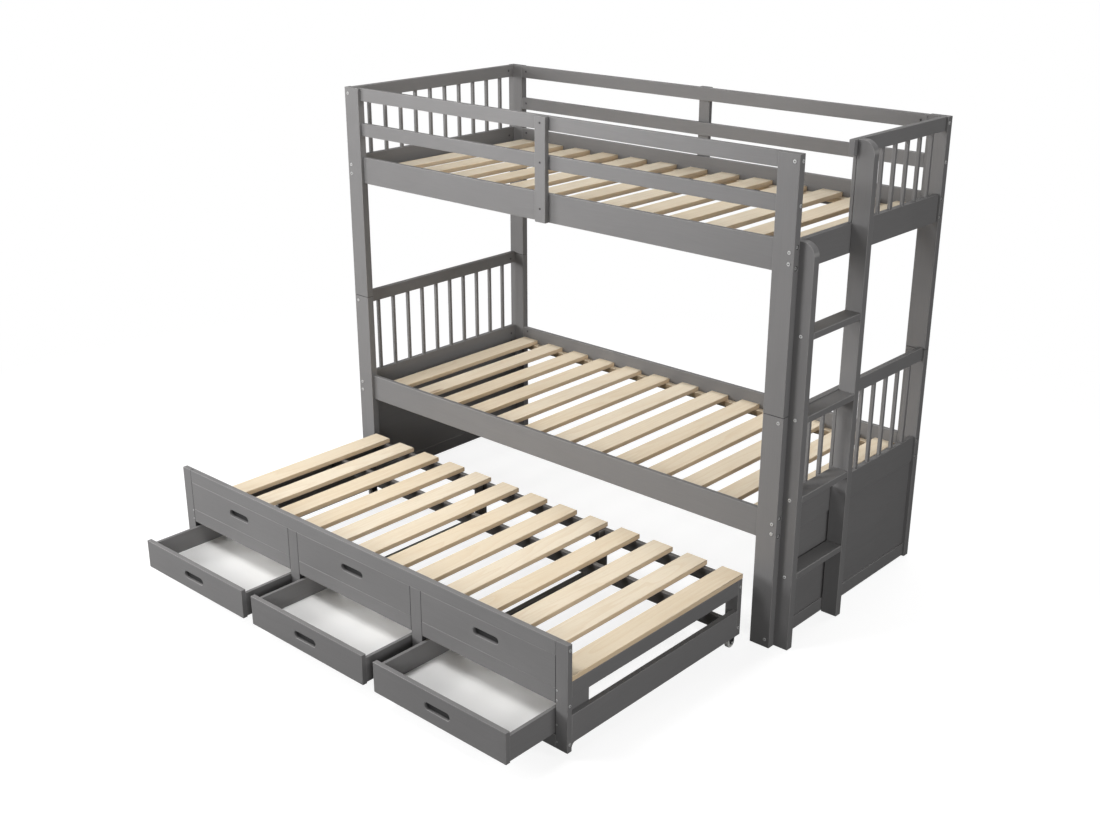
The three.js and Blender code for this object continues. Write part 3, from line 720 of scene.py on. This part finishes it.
def fitting_tree(drive):
    """A round head with its drive cut in, on each point: a hex socket, a slot or a cross."""
    tree, given, ends = start_group(f"{drive}_fitting", "GeometryNodeTree", {
        "Places": GEOMETRY, "Head Radius": FLOAT, "Rim Slope": FLOAT, "Head Height": FLOAT,
        "Drive Size": FLOAT, "Drive Depth": FLOAT, "Seed": WHOLE, "Finish": MATERIAL,
    }, {"Fittings": GEOMETRY})
    radius, size, height = given["Head Radius"], given["Drive Size"], given["Head Height"]
    top = figure(tree, "SUBTRACT", radius, given["Rim Slope"])
    head = output(tree, "GeometryNodeMeshCone", {
        "Vertices": 20, "Radius Top": top, "Radius Bottom": radius, "Depth": height})
    twice = figure(tree, "MULTIPLY", given["Drive Depth"], 2.0)
    if drive == "hex":
        reach = figure(tree, "DIVIDE", size, math.sqrt(3))
        cutters = [output(tree, "GeometryNodeMeshCylinder", {"Vertices": 6, "Radius": reach, "Depth": twice})]
    else:
        reach = figure(tree, "MULTIPLY", radius, 2.4 if drive == "slot" else 1.15)
        grooves = [(reach, size, twice), (size, reach, twice)][:1 if drive == "slot" else 2]
        boxes = [output(tree, "ShaderNodeCombineXYZ", dict(enumerate(groove))) for groove in grooves]
        cutters = [output(tree, "GeometryNodeMeshCube", {"Size": box}) for box in boxes]
    lift = output(tree, "ShaderNodeCombineXYZ", {2: height})
    cut = node(tree, "GeometryNodeMeshBoolean", {0: head}, operation="DIFFERENCE", solver="EXACT")
    for cutter in cutters:
        raised = output(tree, "GeometryNodeTransform", {"Geometry": cutter, "Translation": lift})
        # The cutter's faces carry the drive mark, where the finish paints shade into the drive.
        mark = {"Geometry": raised, "Name": "drive", "Value": 1.0}
        marked = output(tree, "GeometryNodeStoreNamedAttribute", mark, data_type="FLOAT", domain="FACE")
        tree.links.new(marked, cut.inputs[1])
    facing = output(tree, "GeometryNodeInputNamedAttribute", {"Name": "facing"}, data_type="FLOAT_VECTOR")
    aligned = output(tree, "FunctionNodeAlignRotationToVector", {"Vector": facing}, axis="Z")
    # A Random Value node has its range of floats at 2 and 3, and its float at 1
    span = {2: 0.0, 3: 2 * math.pi, "Seed": given["Seed"]}
    angle = node(tree, "FunctionNodeRandomValue", span, data_type="FLOAT").outputs[1]
    spin = output(tree, "FunctionNodeAxisAngleToRotation", {"Axis": (0, 0, 1), "Angle": angle})
    turns = {"Rotation": aligned, "Rotate By": spin}
    rotation = output(tree, "FunctionNodeRotateRotation", turns, rotation_space="LOCAL")
    set_on_points(tree, given["Places"], cut.outputs[0], rotation, given["Finish"], ends["Fittings"])
    return tree


FITTING_TREES = {drive: fitting_tree(drive) for drive in ("hex", "slot", "cross")}

# Each kind of fitting: its body, slot, drive and finish, how far it is sunk into its place, the sizes of its
# head and drive in the order below, and its seed. Lengths are in millimetres.
FITTINGS = {
    "post_bolts": ("bed", "painted_wood", "hex", ZINC, 0.3, (6.5, 1.2, 2.2, 4.0, 1.6), 3),
    "rail_bolts": ("bed", "painted_wood", "hex", ZINC, 7.3, (6.0, 1.0, 4.0, 4.0, 2.0), 4),
    "barrel_nuts": ("bed", "painted_wood", "slot", DARK_ZINC, 0.8, (5.0, 0.4, 1.2, 1.2, 0.9), 5),
    "guard_screws": ("bed", "painted_wood", "cross", DARK_ZINC, 0.6, (4.2, 1.0, 1.4, 0.9, 1.0), 6),
    "trundle_bolts": ("trundle", "painted_wood", "hex", ZINC, 0.3, (5.5, 1.0, 2.0, 4.0, 1.4), 7),
    "trundle_screws": ("trundle", "painted_wood", "cross", ZINC, 0.8, (3.8, 0.9, 1.4, 0.9, 1.0), 8),
    "axle_rivets": ("trundle", "caster_housing", "hex", ZINC, 0.3, (4.2, 1.4, 1.3, 1.8, 0.4), 9),
}
FITTING_SIZES = ("Head Radius", "Rim Slope", "Head Height", "Drive Size", "Drive Depth")


def make_fittings(name, places):
    """All the fittings of one kind. Each place is a point and the way that the head faces."""
    body, slot_name, drive, finish, sink, sizes, seed = FITTINGS[name]
    mesh = plain_mesh(name, [p - Vector(f) * (sink / 1000) for p, f in places], [], [])
    carry(mesh, "facing", [f for _, f in places])
    values = {label: size / 1000 for label, size in zip(FITTING_SIZES, sizes)}
    grown = grow(FITTING_TREES[drive], {**values, "Seed": seed, "Finish": finish}, mesh)
    grown.name = name
    settle(name, grown, body)


# The bed. Places are in millimetres of the maker's drawing, except where a comment says metres.

BED_ENDS, BED_FACES = (("head", -1), ("foot", 1)), (("front", -1), ("back", 1))
LEFT_RIGHT = (("left", -1), ("right", 1))

# Heights of the bolts in each post length: under a drilled recess or flush in the side rails, and in the ends
RECESSED_BOLTS = {"upper": (1402, 1335), "lower": (483, 418)}
FLUSH_BOLTS = {"upper": (1667, 1531), "lower": ()}
END_BOLTS = {"upper": (1667, 1386, 1350), "lower": (823, 464, 429, 29)}
BOLT_WITHOUT_NUT = 1350

# Across the posts: their outer faces, the middles of the rails in them, and the rails' inner faces
POST_OUTER_X, POST_OUTER_Y = 1050, 480
SIDE_RAIL_Y, SIDE_NUT_X, SIDE_RAIL_INNER_Y = 461, 946, 450
END_RAIL_X, END_NUT_Y, END_RAIL_INNER_X = 1032, 420, 1022

# The end panels: the number of spindles, and sizes in metres
SPINDLES = {"upper_head": 10, "lower_head": 10, "lower_foot": 10, "upper_foot": 7}
SPINDLE_SIZE, SPINDLE_STEP, SPINDLE_BITE, TOP_RAIL_HEIGHT = 0.013, 0.083, 0.003, 0.05

END_BOARD_Y = (-449.7, 449.7)
DECK_TOP = {"upper": 1373, "lower": 453}
TREAD_BOLTS = (1118, 836, 554, 272)
GUARD_SCREWS = (1667, 1529.5, 1365.6)


def make_posts():
    """Eight post lengths, with drilled recesses over the bolts of the side rails."""
    for end, sx in BED_ENDS:
        for face, sy in BED_FACES:
            for level in ("lower", "upper"):
                name = f"post_{level}_{end}_{face}"
                low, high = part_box(name)
                if level == "upper":
                    low.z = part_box(f"post_lower_{end}_{face}")[1].z + SEAT
                bits = [router_bit(spot(sx * POST_OUTER_X, sy * SIDE_RAIL_Y, z), (sx, 0, 0), 0,
                                   BOLT_RECESS_RADIUS, BOLT_RECESS_DEPTH) for z in RECESSED_BOLTS[level]]
                seam = ("z", -1 if level == "upper" else 1)
                painted(name, "bed", [butted(routed(board(low, high, "z"), bits), seam)])


def make_rails():
    """Side rails and guard rails along both faces, and the stile that ties each pair of guard rails."""
    for face, _ in BED_FACES:
        for part in ("side_rail_upper", "side_rail_lower", "guard_rail_top", "guard_rail_middle"):
            painted(f"{part}_{face}", "bed", [node_board(f"{part}_{face}", "x", RAIL_EASE)])
        painted(f"guard_stile_{face}", "bed", [node_board(f"guard_stile_{face}", "z", RAIL_EASE)])


def make_end_panels():
    """Rail, top rail and square spindles of each end panel. One top rail is short, beside the ladder."""
    for panel, count in SPINDLES.items():
        name = f"end_panel_{panel}"
        low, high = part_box(name)
        rail_top = spot(0, 0, 1420 if panel.startswith("upper") else 500).z
        top_rail_low = Vector((low.x, low.y, high.z - TOP_RAIL_HEIGHT))
        if panel == "upper_foot":
            top_rail_low.y = spot(0, -156.7, 0).y
        boards = [board(low, (high.x, high.y, rail_top), "y"), board(top_rail_low, high, "y", RAIL_EASE)]
        first_y = spot(0, 373.5 - 83 * (count - 1), 0).y
        first = ((low.x + high.x) / 2, first_y, rail_top - SPINDLE_BITE)
        length = high.z - TOP_RAIL_HEIGHT + SPINDLE_BITE - first[2]
        boards += board_row(count, "z", SPINDLE_EASE, width=SPINDLE_SIZE, thickness=SPINDLE_SIZE,
                            length=length, first=first, step=(0, SPINDLE_STEP, 0), turn=(0, 0, 0),
                            finish=PAINT)
        painted(name, "bed", boards)


def make_end_boards():
    """The solid board of each end, and the base rail that it stands in."""
    for end, sx in BED_ENDS:
        painted(f"end_board_{end}", "bed", [
            drawn_board((sx * 1024, sx * 1036), END_BOARD_Y, (54, 399.7), "y", PANEL_EASE),
            drawn_board((sx * 1022, sx * 1042), END_BOARD_Y, (4, 54), "y"),
        ])


def make_slat_decks():
    """The slats of each bunk on two cleats."""
    for level, top in DECK_TOP.items():
        boards = [drawn_board((-967, 967), (sy * 422, sy * 449.7), (top - 40, top - 18), "x", THIN_EASE)
                  for _, sy in BED_FACES]
        boards += slat_row(spot(-924, -449, top - 9), 0.154, 0.898)
        make_piece(f"slat_deck_{level}", "planed", "bed", boards)


def ladder_outline(top):
    """A ladder stile in X and Z, with its outer top corner rounded."""
    inner, outer, radius, steps = 1042.3, 1104.3, 45, 12
    points = [(inner, 0), (outer, 0)]
    for i in range(steps + 1):
        angle = math.pi / 2 * i / steps
        points.append((outer - radius + radius * math.cos(angle), top - radius + radius * math.sin(angle)))
    points.append((inner, top))
    return [(spot(x, 0, 0).x, spot(0, 0, z).z) for x, z in points]


def make_ladder():
    """Two stiles of different heights outside the foot end, and four treads."""
    for face, y, top in (("front", -449.7, 1420), ("back", -135.7, 1690)):
        start, end = spot(0, y, 0).y, spot(0, y + 30, 0).y
        stile = shaped_board(ladder_outline(top), AXES["y"], start, end, "z", RAIL_EASE)
        painted(f"ladder_stile_{face}", "bed", [stile])
    for i in range(1, 5):
        painted(f"ladder_tread_{i}", "bed", [node_board(f"ladder_tread_{i}", "y", TREAD_EASE)])


def make_bed_fittings():
    """Bolts through posts and ladder, barrel nuts in the rails, screws in the guard stiles."""
    bolts, deep_bolts, nuts = [], [], []
    for _, sx in BED_ENDS:
        for _, sy in BED_FACES:
            for level in ("upper", "lower"):
                flush, deep, across = FLUSH_BOLTS[level], RECESSED_BOLTS[level], END_BOLTS[level]
                bolts += [(spot(sx * END_RAIL_X, sy * POST_OUTER_Y, z), (0, sy, 0)) for z in across]
                bolts += [(spot(sx * POST_OUTER_X, sy * SIDE_RAIL_Y, z), (sx, 0, 0)) for z in flush]
                deep_bolts += [(spot(sx * POST_OUTER_X, sy * SIDE_RAIL_Y, z), (sx, 0, 0)) for z in deep]
                nuts += [(spot(sx * END_RAIL_INNER_X, sy * END_NUT_Y, z), (-sx, 0, 0)) for z in across
                         if z != BOLT_WITHOUT_NUT]
                nuts += [(spot(sx * SIDE_NUT_X, sy * SIDE_RAIL_INNER_Y, z), (0, -sy, 0))
                         for z in flush + deep]
    # The foot end's short top rail doesn't reach the front post, so there is no nut beside that post
    missing = spot(END_RAIL_INNER_X, -END_NUT_Y, END_BOLTS["upper"][0])
    nuts = [(place, facing) for place, facing in nuts if (place - missing).length > 1e-6]
    for z in TREAD_BOLTS:
        bolts += [(spot(1075, -449.7, z), (0, -1, 0)), (spot(1075, -105.7, z), (0, 1, 0))]
    screws = [(spot(0, sy * 488.3, z), (0, sy, 0)) for _, sy in BED_FACES for z in GUARD_SCREWS]
    make_fittings("post_bolts", bolts)
    make_fittings("rail_bolts", deep_bolts)
    make_fittings("barrel_nuts", nuts)
    make_fittings("guard_screws", screws)


# The trundle and its drawers

BAY_CENTRES = {"left": -630, "middle": 0, "right": 630}
DIVIDER_X = 315
FRONT_Y, FRAME_Y, REAR_Y = -1422, -1401.7, -537
BEHIND_DRAWERS, RUNNER_END, REAR_POST = -1072, -1042, -559
BACK_RAILS_Y, BACK_RAILS_FRONT = (-563, -545), -563.3
FASCIA_Y = (FRONT_Y, FRONT_Y + 20)
CORNER_Y = (FRAME_Y, FRAME_Y + 100)
RUNNER_Z, GUIDE_Z, LEG_Z = (50, 72.7), (72.7, 87.7), (50, 262.7)
BLOCK_Z, TOP_RAIL_Z = (87.7, 262.7), (208.7, 262.7)
MIDDLE_RAIL_X = {"left": (-255, -235), "right": (363, 383)}
INNER_RAIL_X = (-894, -874)
BOTH_X_ENDS = (("x", -1), ("x", 1))
DRAWER_Y, DRAWER_Z = (-1614.7, -1288), (73, 160.5)


def make_trundle_front():
    """A top rail, and below it a routed panel and a lower strip between the dividers, all flush."""
    boards = [drawn_board((-919.7, 919.7), FASCIA_Y, (341, 391), "x")]
    for x in BAY_CENTRES.values():
        panel = drawn_board(centred(x, 289.7), FASCIA_Y, (231, 340.8), "x")
        panel = routed(panel, [finger_pocket(x, FRONT_Y, 292, 0.014)])
        strip = drawn_board(centred(x, 289.7), FASCIA_Y, (179, 230.8), "x")
        boards += [butted(panel, *BOTH_X_ENDS), butted(strip, *BOTH_X_ENDS)]
    painted("trundle_fascia", "trundle", boards)
    for side, sx in LEFT_RIGHT:
        stile = node_board(f"trundle_stile_{side}", "z")
        painted(f"trundle_stile_{side}", "trundle", [butted(stile, ("x", -sx))])
    painted("trundle_bottom_rail", "trundle", [node_board("trundle_bottom_rail", "x")])


def make_middle_frames():
    """Between the drawers: divider and runner with its guide, then the low rail and the post behind them."""
    for side, sx in LEFT_RIGHT:
        rail, divider = MIDDLE_RAIL_X[side], sx * DIVIDER_X
        painted(f"trundle_middle_frame_{side}", "trundle", [
            butted(drawn_board(centred(divider, 25), FASCIA_Y, (68.3, 340.7), "z"), *BOTH_X_ENDS),
            drawn_board((divider - 40.5, rail[1] - 0.1), (FRAME_Y, RUNNER_END), (50.1, 72.7), "y"),
            drawn_board(centred(divider, 27), (FRAME_Y, RUNNER_END), GUIDE_Z, "y"),
            drawn_board(rail, (BEHIND_DRAWERS, -592), (50, 123), "y"),
            drawn_board(rail, (-592, BACK_RAILS_FRONT), LEG_Z, "z"),
        ])


def low_end_rail(start, end, rear):
    """The low rail of an end frame, whose front corner is a coved foot behind the stile."""
    cove, steps, foot, top = 16, 8, 34, 148
    outline = [(FRAME_Y, top), (FRAME_Y, foot)]
    for i in range(1, steps + 1):
        angle = math.pi / 2 * i / steps
        outline.append((FRAME_Y + cove - cove * math.cos(angle), foot + cove * math.sin(angle)))
    outline += [(rear, foot + cove), (rear, top)]
    outline = [(spot(0, y, 0).y, spot(0, 0, z).z) for y, z in outline]
    return shaped_board(outline, AXES["x"], spot(start, 0, 0).x, spot(end, 0, 0).x, "y")


def make_end_frames():
    """The right end frame runs straight back. The left one steps in behind its drawer."""
    runner_y = (FRAME_Y, BACK_RAILS_FRONT)
    painted("trundle_end_frame_right", "trundle", [
        low_end_rail(948, 968, REAR_POST),
        drawn_board((948, 968), (FRAME_Y, REAR_POST), TOP_RAIL_Z, "y"),
        drawn_board((928, 947.9), CORNER_Y, BLOCK_Z, "z"),
        drawn_board((918, 968), (REAR_POST, REAR_Y), LEG_Z, "z"),
        drawn_board((904.5, 947.9), runner_y, RUNNER_Z, "y"),
        drawn_board((918, 947.9), runner_y, GUIDE_Z, "y"),
    ])
    runner_y = (FRAME_Y, BEHIND_DRAWERS)
    painted("trundle_end_frame_left", "trundle", [
        low_end_rail(-968, -948, RUNNER_END),
        drawn_board((-947.9, -928), CORNER_Y, BLOCK_Z, "z"),
        drawn_board((-927.9, -874), (FRAME_Y + 20.3, CORNER_Y[1]), TOP_RAIL_Z, "x"),
        drawn_board(INNER_RAIL_X, (CORNER_Y[1], REAR_POST), TOP_RAIL_Z, "y"),
        drawn_board(INNER_RAIL_X, (BEHIND_DRAWERS, REAR_POST), (50, 148), "y"),
        drawn_board((-918, -874), (REAR_POST, REAR_Y), LEG_Z, "z"),
        drawn_board((-947.9, -904.5), runner_y, RUNNER_Z, "y"),
        drawn_board((-947.9, -918), runner_y, GUIDE_Z, "y"),
        drawn_board((-967.9, -894.1), (BEHIND_DRAWERS, -554), (50.1, 72.6), "y"),
    ])


def make_back_frame():
    """The trundle's two rear rails with the posts between them, and the rail under its slats' middle."""
    boards = [drawn_board(MIDDLE_RAIL_X[side], BACK_RAILS_Y, (100, 214.7), "z") for side, _ in LEFT_RIGHT]
    boards += [drawn_board((-873.7, 917.7), BACK_RAILS_Y, z, "x") for z in ((214.7, 262.7), (50, 100))]
    painted("trundle_back_frame", "trundle", boards)
    painted("trundle_centre_rail", "trundle", [node_board("trundle_centre_rail", "x")])


def make_trundle_deck():
    """The trundle's slats and the cleat behind its fascia."""
    cleat = drawn_board((-927.7, 927.7), (FRAME_Y, FRAME_Y + 20), (235, 263), "x", THIN_EASE)
    slats = slat_row(spot(-851, FRAME_Y, 272), 0.148, 0.8647)
    make_piece("trundle_slat_deck", "planed", "trundle", [cleat] + slats)


def make_drawers():
    """Three drawers: a front with a finger pocket, two sides and a back, and a white bottom."""
    for side, x in BAY_CENTRES.items():
        body = f"drawer_{side}"
        front = routed(node_board(f"drawer_front_{side}", "x"), [finger_pocket(x, -1633, 123.5, 0.012)])
        painted(f"drawer_front_{side}", body, [front])
        boards = [drawn_board((x + sx * 274.5, x + sx * 286.5), DRAWER_Y, DRAWER_Z, "y", THIN_EASE)
                  for _, sx in LEFT_RIGHT]
        boards.append(drawn_board(centred(x, 274.5), (-1300, -1288), DRAWER_Z, "x", THIN_EASE))
        painted(f"drawer_box_{side}", body, boards)
        name = f"drawer_bottom_{side}"
        make_piece(name, "faced", body, [node_board(name, "x", BOTTOM_EASE)])


def make_trundle_fittings():
    """Bolts in the stiles' outer faces, screws in their fronts, bolts at the rear posts."""
    bolts, screws = [], []
    for side, sx in LEFT_RIGHT:
        post_face = 968 if side == "right" else -918
        bolts += [(spot(sx * 968, -1412, z), (sx, 0, 0)) for z in (372, 184, 50)]
        bolts += [(spot(post_face, -548, z), (sx, 0, 0)) for z in (79, 235)]
        screws += [(spot(sx * 925, FRONT_Y, z), (0, -1, 0)) for z in (225, 191, 106, 46)]
    make_fittings("trundle_bolts", bolts)
    make_fittings("trundle_screws", screws)


# Casters

# Half of a wheel's section in millimetres, from its bore to its tread: the radius, and how far out it is
WHEEL_SECTION = ((3.1, 8.0), (6.0, 8.0), (6.6, 7.4), (7.0, 4.6), (13.0, 4.6), (13.5, 7.4),
                 (14.2, 8.0), (17.6, 8.0), (19.0, 7.4), (19.8, 6.2), (20.0, 5.0))
WHEEL_TURNS, WHEEL_RIBS = 48, 6

# In metres: where the tread begins, the ribs, the rounding of a bracket's edges, the end of an axle
TREAD_RADIUS = 0.0185
RIB_X, RIB_RADII, RIB_HALF_WIDTH = (-0.0068, 0.0068), (0.0062, 0.0138), 0.0008
RIB_FACES = ((0, 1, 3, 2), (4, 6, 7, 5), (0, 4, 5, 1), (2, 3, 7, 6), (0, 2, 6, 4), (1, 5, 7, 3))
HOUSING_EASE = 0.0005
AXLE_END = 0.0128


def eased_copy(node_name, ease):
    """A merged copy of a CAD node's mesh with its outer edges eased, and an edge mark for its finish."""
    bm = bmesh.new()
    bm.from_mesh(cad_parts[node_name].data)
    bmesh.ops.remove_doubles(bm, verts=bm.verts[:], dist=1e-6)
    bmesh.ops.dissolve_limit(bm, angle_limit=0.02, verts=bm.verts[:], edges=bm.edges[:])
    sharp = [e for e in bm.edges if len(e.link_faces) == 2 and e.calc_face_angle_signed(0) > 0.5]
    for f in ease_edges(bm, sharp, ease, clamp=True):
        f.smooth = True
    edge = [1.0 if all(f.smooth for f in v.link_faces) else 0.0 for v in bm.verts]
    mesh = worked_mesh(bm, node_name)
    carry(mesh, "board_edge", edge)
    return mesh


def wheel_mesh(name, centre):
    """A moulded wheel turned about X: hub, web with ribs, and a rounded tread."""
    profile = [(r / 1000, -x / 1000) for r, x in WHEEL_SECTION]
    profile += [(r / 1000, x / 1000) for r, x in reversed(WHEEL_SECTION)]
    points, tread = [], []
    for i in range(WHEEL_TURNS):
        angle = 2 * math.pi * i / WHEEL_TURNS
        for r, x in profile:
            points.append(centre + Vector((x, r * math.cos(angle), r * math.sin(angle))))
            tread.append(1.0 if r > TREAD_RADIUS else 0.0)
    faces = ring_faces(WHEEL_TURNS, len(profile), joined=True)
    for i in range(WHEEL_RIBS):
        angle = 2 * math.pi * i / WHEEL_RIBS
        out = Vector((0, math.cos(angle), math.sin(angle)))
        side = Vector((0, -math.sin(angle), math.cos(angle)))
        start = len(points)
        for x in RIB_X:
            for r in RIB_RADII:
                for w in (-RIB_HALF_WIDTH, RIB_HALF_WIDTH):
                    points.append(centre + Vector((x, 0, 0)) + out * r + side * w)
                    tread.append(0.0)
        faces += [[start + k for k in f] for f in RIB_FACES]
    mesh = plain_mesh(name, points, faces, [True] * len(faces))
    turn_outwards(mesh, lambda f: f.calc_area() < 4e-6 and abs(f.normal.x) < 0.99)
    carry(mesh, "wheel_tread", tread)
    return mesh


def make_casters():
    """Four casters under the trundle: a coated bracket, a moulded wheel, and the axle's two rivet heads."""
    rivets = []
    for place in ("front", "rear"):
        for side, _ in LEFT_RIGHT:
            bracket, wheel = f"caster_bracket_{place}_{side}", f"caster_wheel_{place}_{side}"
            housing = eased_copy(bracket, HOUSING_EASE)
            housing.materials.append(HOUSING)
            settle(f"{bracket}_coated", housing, "trundle", bracket)
            low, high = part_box(wheel)
            centre = (low + high) / 2
            turned = wheel_mesh(f"{wheel}_moulded", centre)
            turned.materials.append(WHEEL_PLASTIC)
            settle(f"{wheel}_moulded", turned, f"wheel_{place}_{side}", wheel)
            rivets += [(centre + Vector((sx * AXLE_END, 0, 0)), (sx, 0, 0)) for sx in (-1, 1)]
    make_fittings("axle_rivets", rivets)


# Studio

FLOOR_REACH = 30
WHITE = (1, 1, 1, 1)

# Each soft box by its place, the point that it is turned to, its size in metres and its power in watts
SOFT_BOXES = {
    "behind_overhead": ((0.6, 2.6, 4.5), (0.0, 0.0, 0.8), 2.5, 100),
    "near_overhead": ((-0.3, -1.7, 2.8), (-0.1, -0.5, 0.9), 0.9, 50),
    "far_left": ((-5.5, -3.0, 2.0), (0.0, -0.3, 0.8), 2.0, 330),
    "front_left": ((-2.4, -4.4, 1.9), (-0.2, -0.5, 0.9), 1.6, 104),
    "front_right": ((4.6, -3.4, 1.6), (0.6, -0.5, 0.8), 1.5, 86),
    "right": ((5.0, 0.2, 2.4), (0.6, 0.0, 0.8), 1.5, 58),
}

# The camera: its place in metres, its turn to the left and its dip in radians, its focal length in pixels
CAMERA_PLACE, CAMERA_TURN, CAMERA_DIP = (3.24845, -3.46415, 2.4690), 0.738, 0.370
FOCAL_PIXELS, FRAME_PIXELS, SENSOR_WIDTH = 1387.417, 1100, 36


def make_floor():
    """A white floor that keeps a faint shadow near the bed, and passes little light back up to it."""
    corners = [(x * FLOOR_REACH, y * FLOOR_REACH, 0) for x, y in ((-1, -1), (1, -1), (1, 1), (-1, 1))]
    floor = plain_object("studio_floor", plain_mesh("studio_floor", corners, [[0, 1, 2, 3]], [True]))
    material = bpy.data.materials.new("studio_floor")
    material.use_nodes = True
    tree = material.node_tree
    tree.nodes.clear()
    seen = node(tree, "ShaderNodeLightPath").outputs["Is Camera Ray"]
    place = {0: object_place(tree)}
    distance = node(tree, "ShaderNodeVectorMath", place, operation="LENGTH").outputs["Value"]
    grey = output(tree, "ShaderNodeBsdfDiffuse", {"Color": tone("666666")})
    pale = output(tree, "ShaderNodeBsdfDiffuse", {"Color": tone("909090")})
    glow = output(tree, "ShaderNodeEmission", {"Color": WHITE, "Strength": 0.84})
    lit = output(tree, "ShaderNodeAddShader", {0: pale, 1: glow})
    white = output(tree, "ShaderNodeEmission", {"Color": WHITE, "Strength": 1.0})
    shown = output(tree, "ShaderNodeMixShader", {0: ramp(tree, distance, 1.6, 3.6), 1: lit, 2: white})
    both = output(tree, "ShaderNodeMixShader", {0: seen, 1: grey, 2: shown})
    node(tree, "ShaderNodeOutputMaterial", {"Surface": both})
    floor.data.materials.append(material)


def make_surround():
    """A white background, which lights the bed a little and shows in its gloss."""
    world = bpy.data.worlds.new("studio")
    bpy.context.scene.world = world
    world.use_nodes = True
    tree = world.node_tree
    tree.nodes.clear()
    path = node(tree, "ShaderNodeLightPath").outputs
    white = figure(tree, "MAXIMUM", path["Is Camera Ray"], path["Is Transmission Ray"])
    strength = figure(tree, "MULTIPLY_ADD", path["Is Glossy Ray"], 0.25, figure(tree, "MAXIMUM", white, 0.05))
    surround = output(tree, "ShaderNodeBackground", {"Color": WHITE, "Strength": strength})
    node(tree, "ShaderNodeOutputWorld", {"Surface": surround})


def aim(item, place, look):
    """Sets a lamp or a camera at a place, looking along a direction."""
    item.location = place
    item.rotation_mode = "QUATERNION"
    item.rotation_quaternion = look.to_track_quat("-Z", "Y")


def make_soft_boxes():
    """Square soft boxes overhead, far to the left, at the front and at the right."""
    for name, (place, target, size, power) in SOFT_BOXES.items():
        lamp = bpy.data.lights.new(name, "AREA")
        lamp.shape, lamp.size, lamp.energy = "SQUARE", size, power
        holder = plain_object(name, lamp)
        aim(holder, place, Vector(target) - Vector(place))
        holder.visible_camera = False
        holder.visible_glossy = False


def make_camera():
    """The camera at the photograph's viewing angle, with colours shown as they are."""
    scene = bpy.context.scene
    scene.view_settings.view_transform = "Standard"
    lens = bpy.data.cameras.new("camera")
    lens.sensor_width, lens.lens = SENSOR_WIDTH, SENSOR_WIDTH * FOCAL_PIXELS / FRAME_PIXELS
    camera = plain_object("camera", lens)
    level = math.cos(CAMERA_DIP)
    aim(camera, CAMERA_PLACE,
        Vector((-math.sin(CAMERA_TURN) * level, math.cos(CAMERA_TURN) * level, -math.sin(CAMERA_DIP))))
    scene.camera = camera


make_floor()
make_surround()
make_soft_boxes()
make_camera()
make_posts()
make_rails()
make_end_panels()
make_end_boards()
make_slat_decks()
make_ladder()
make_bed_fittings()
make_trundle_front()
make_middle_frames()
make_end_frames()
make_back_frame()
make_trundle_deck()
make_drawers()
make_trundle_fittings()
make_casters()
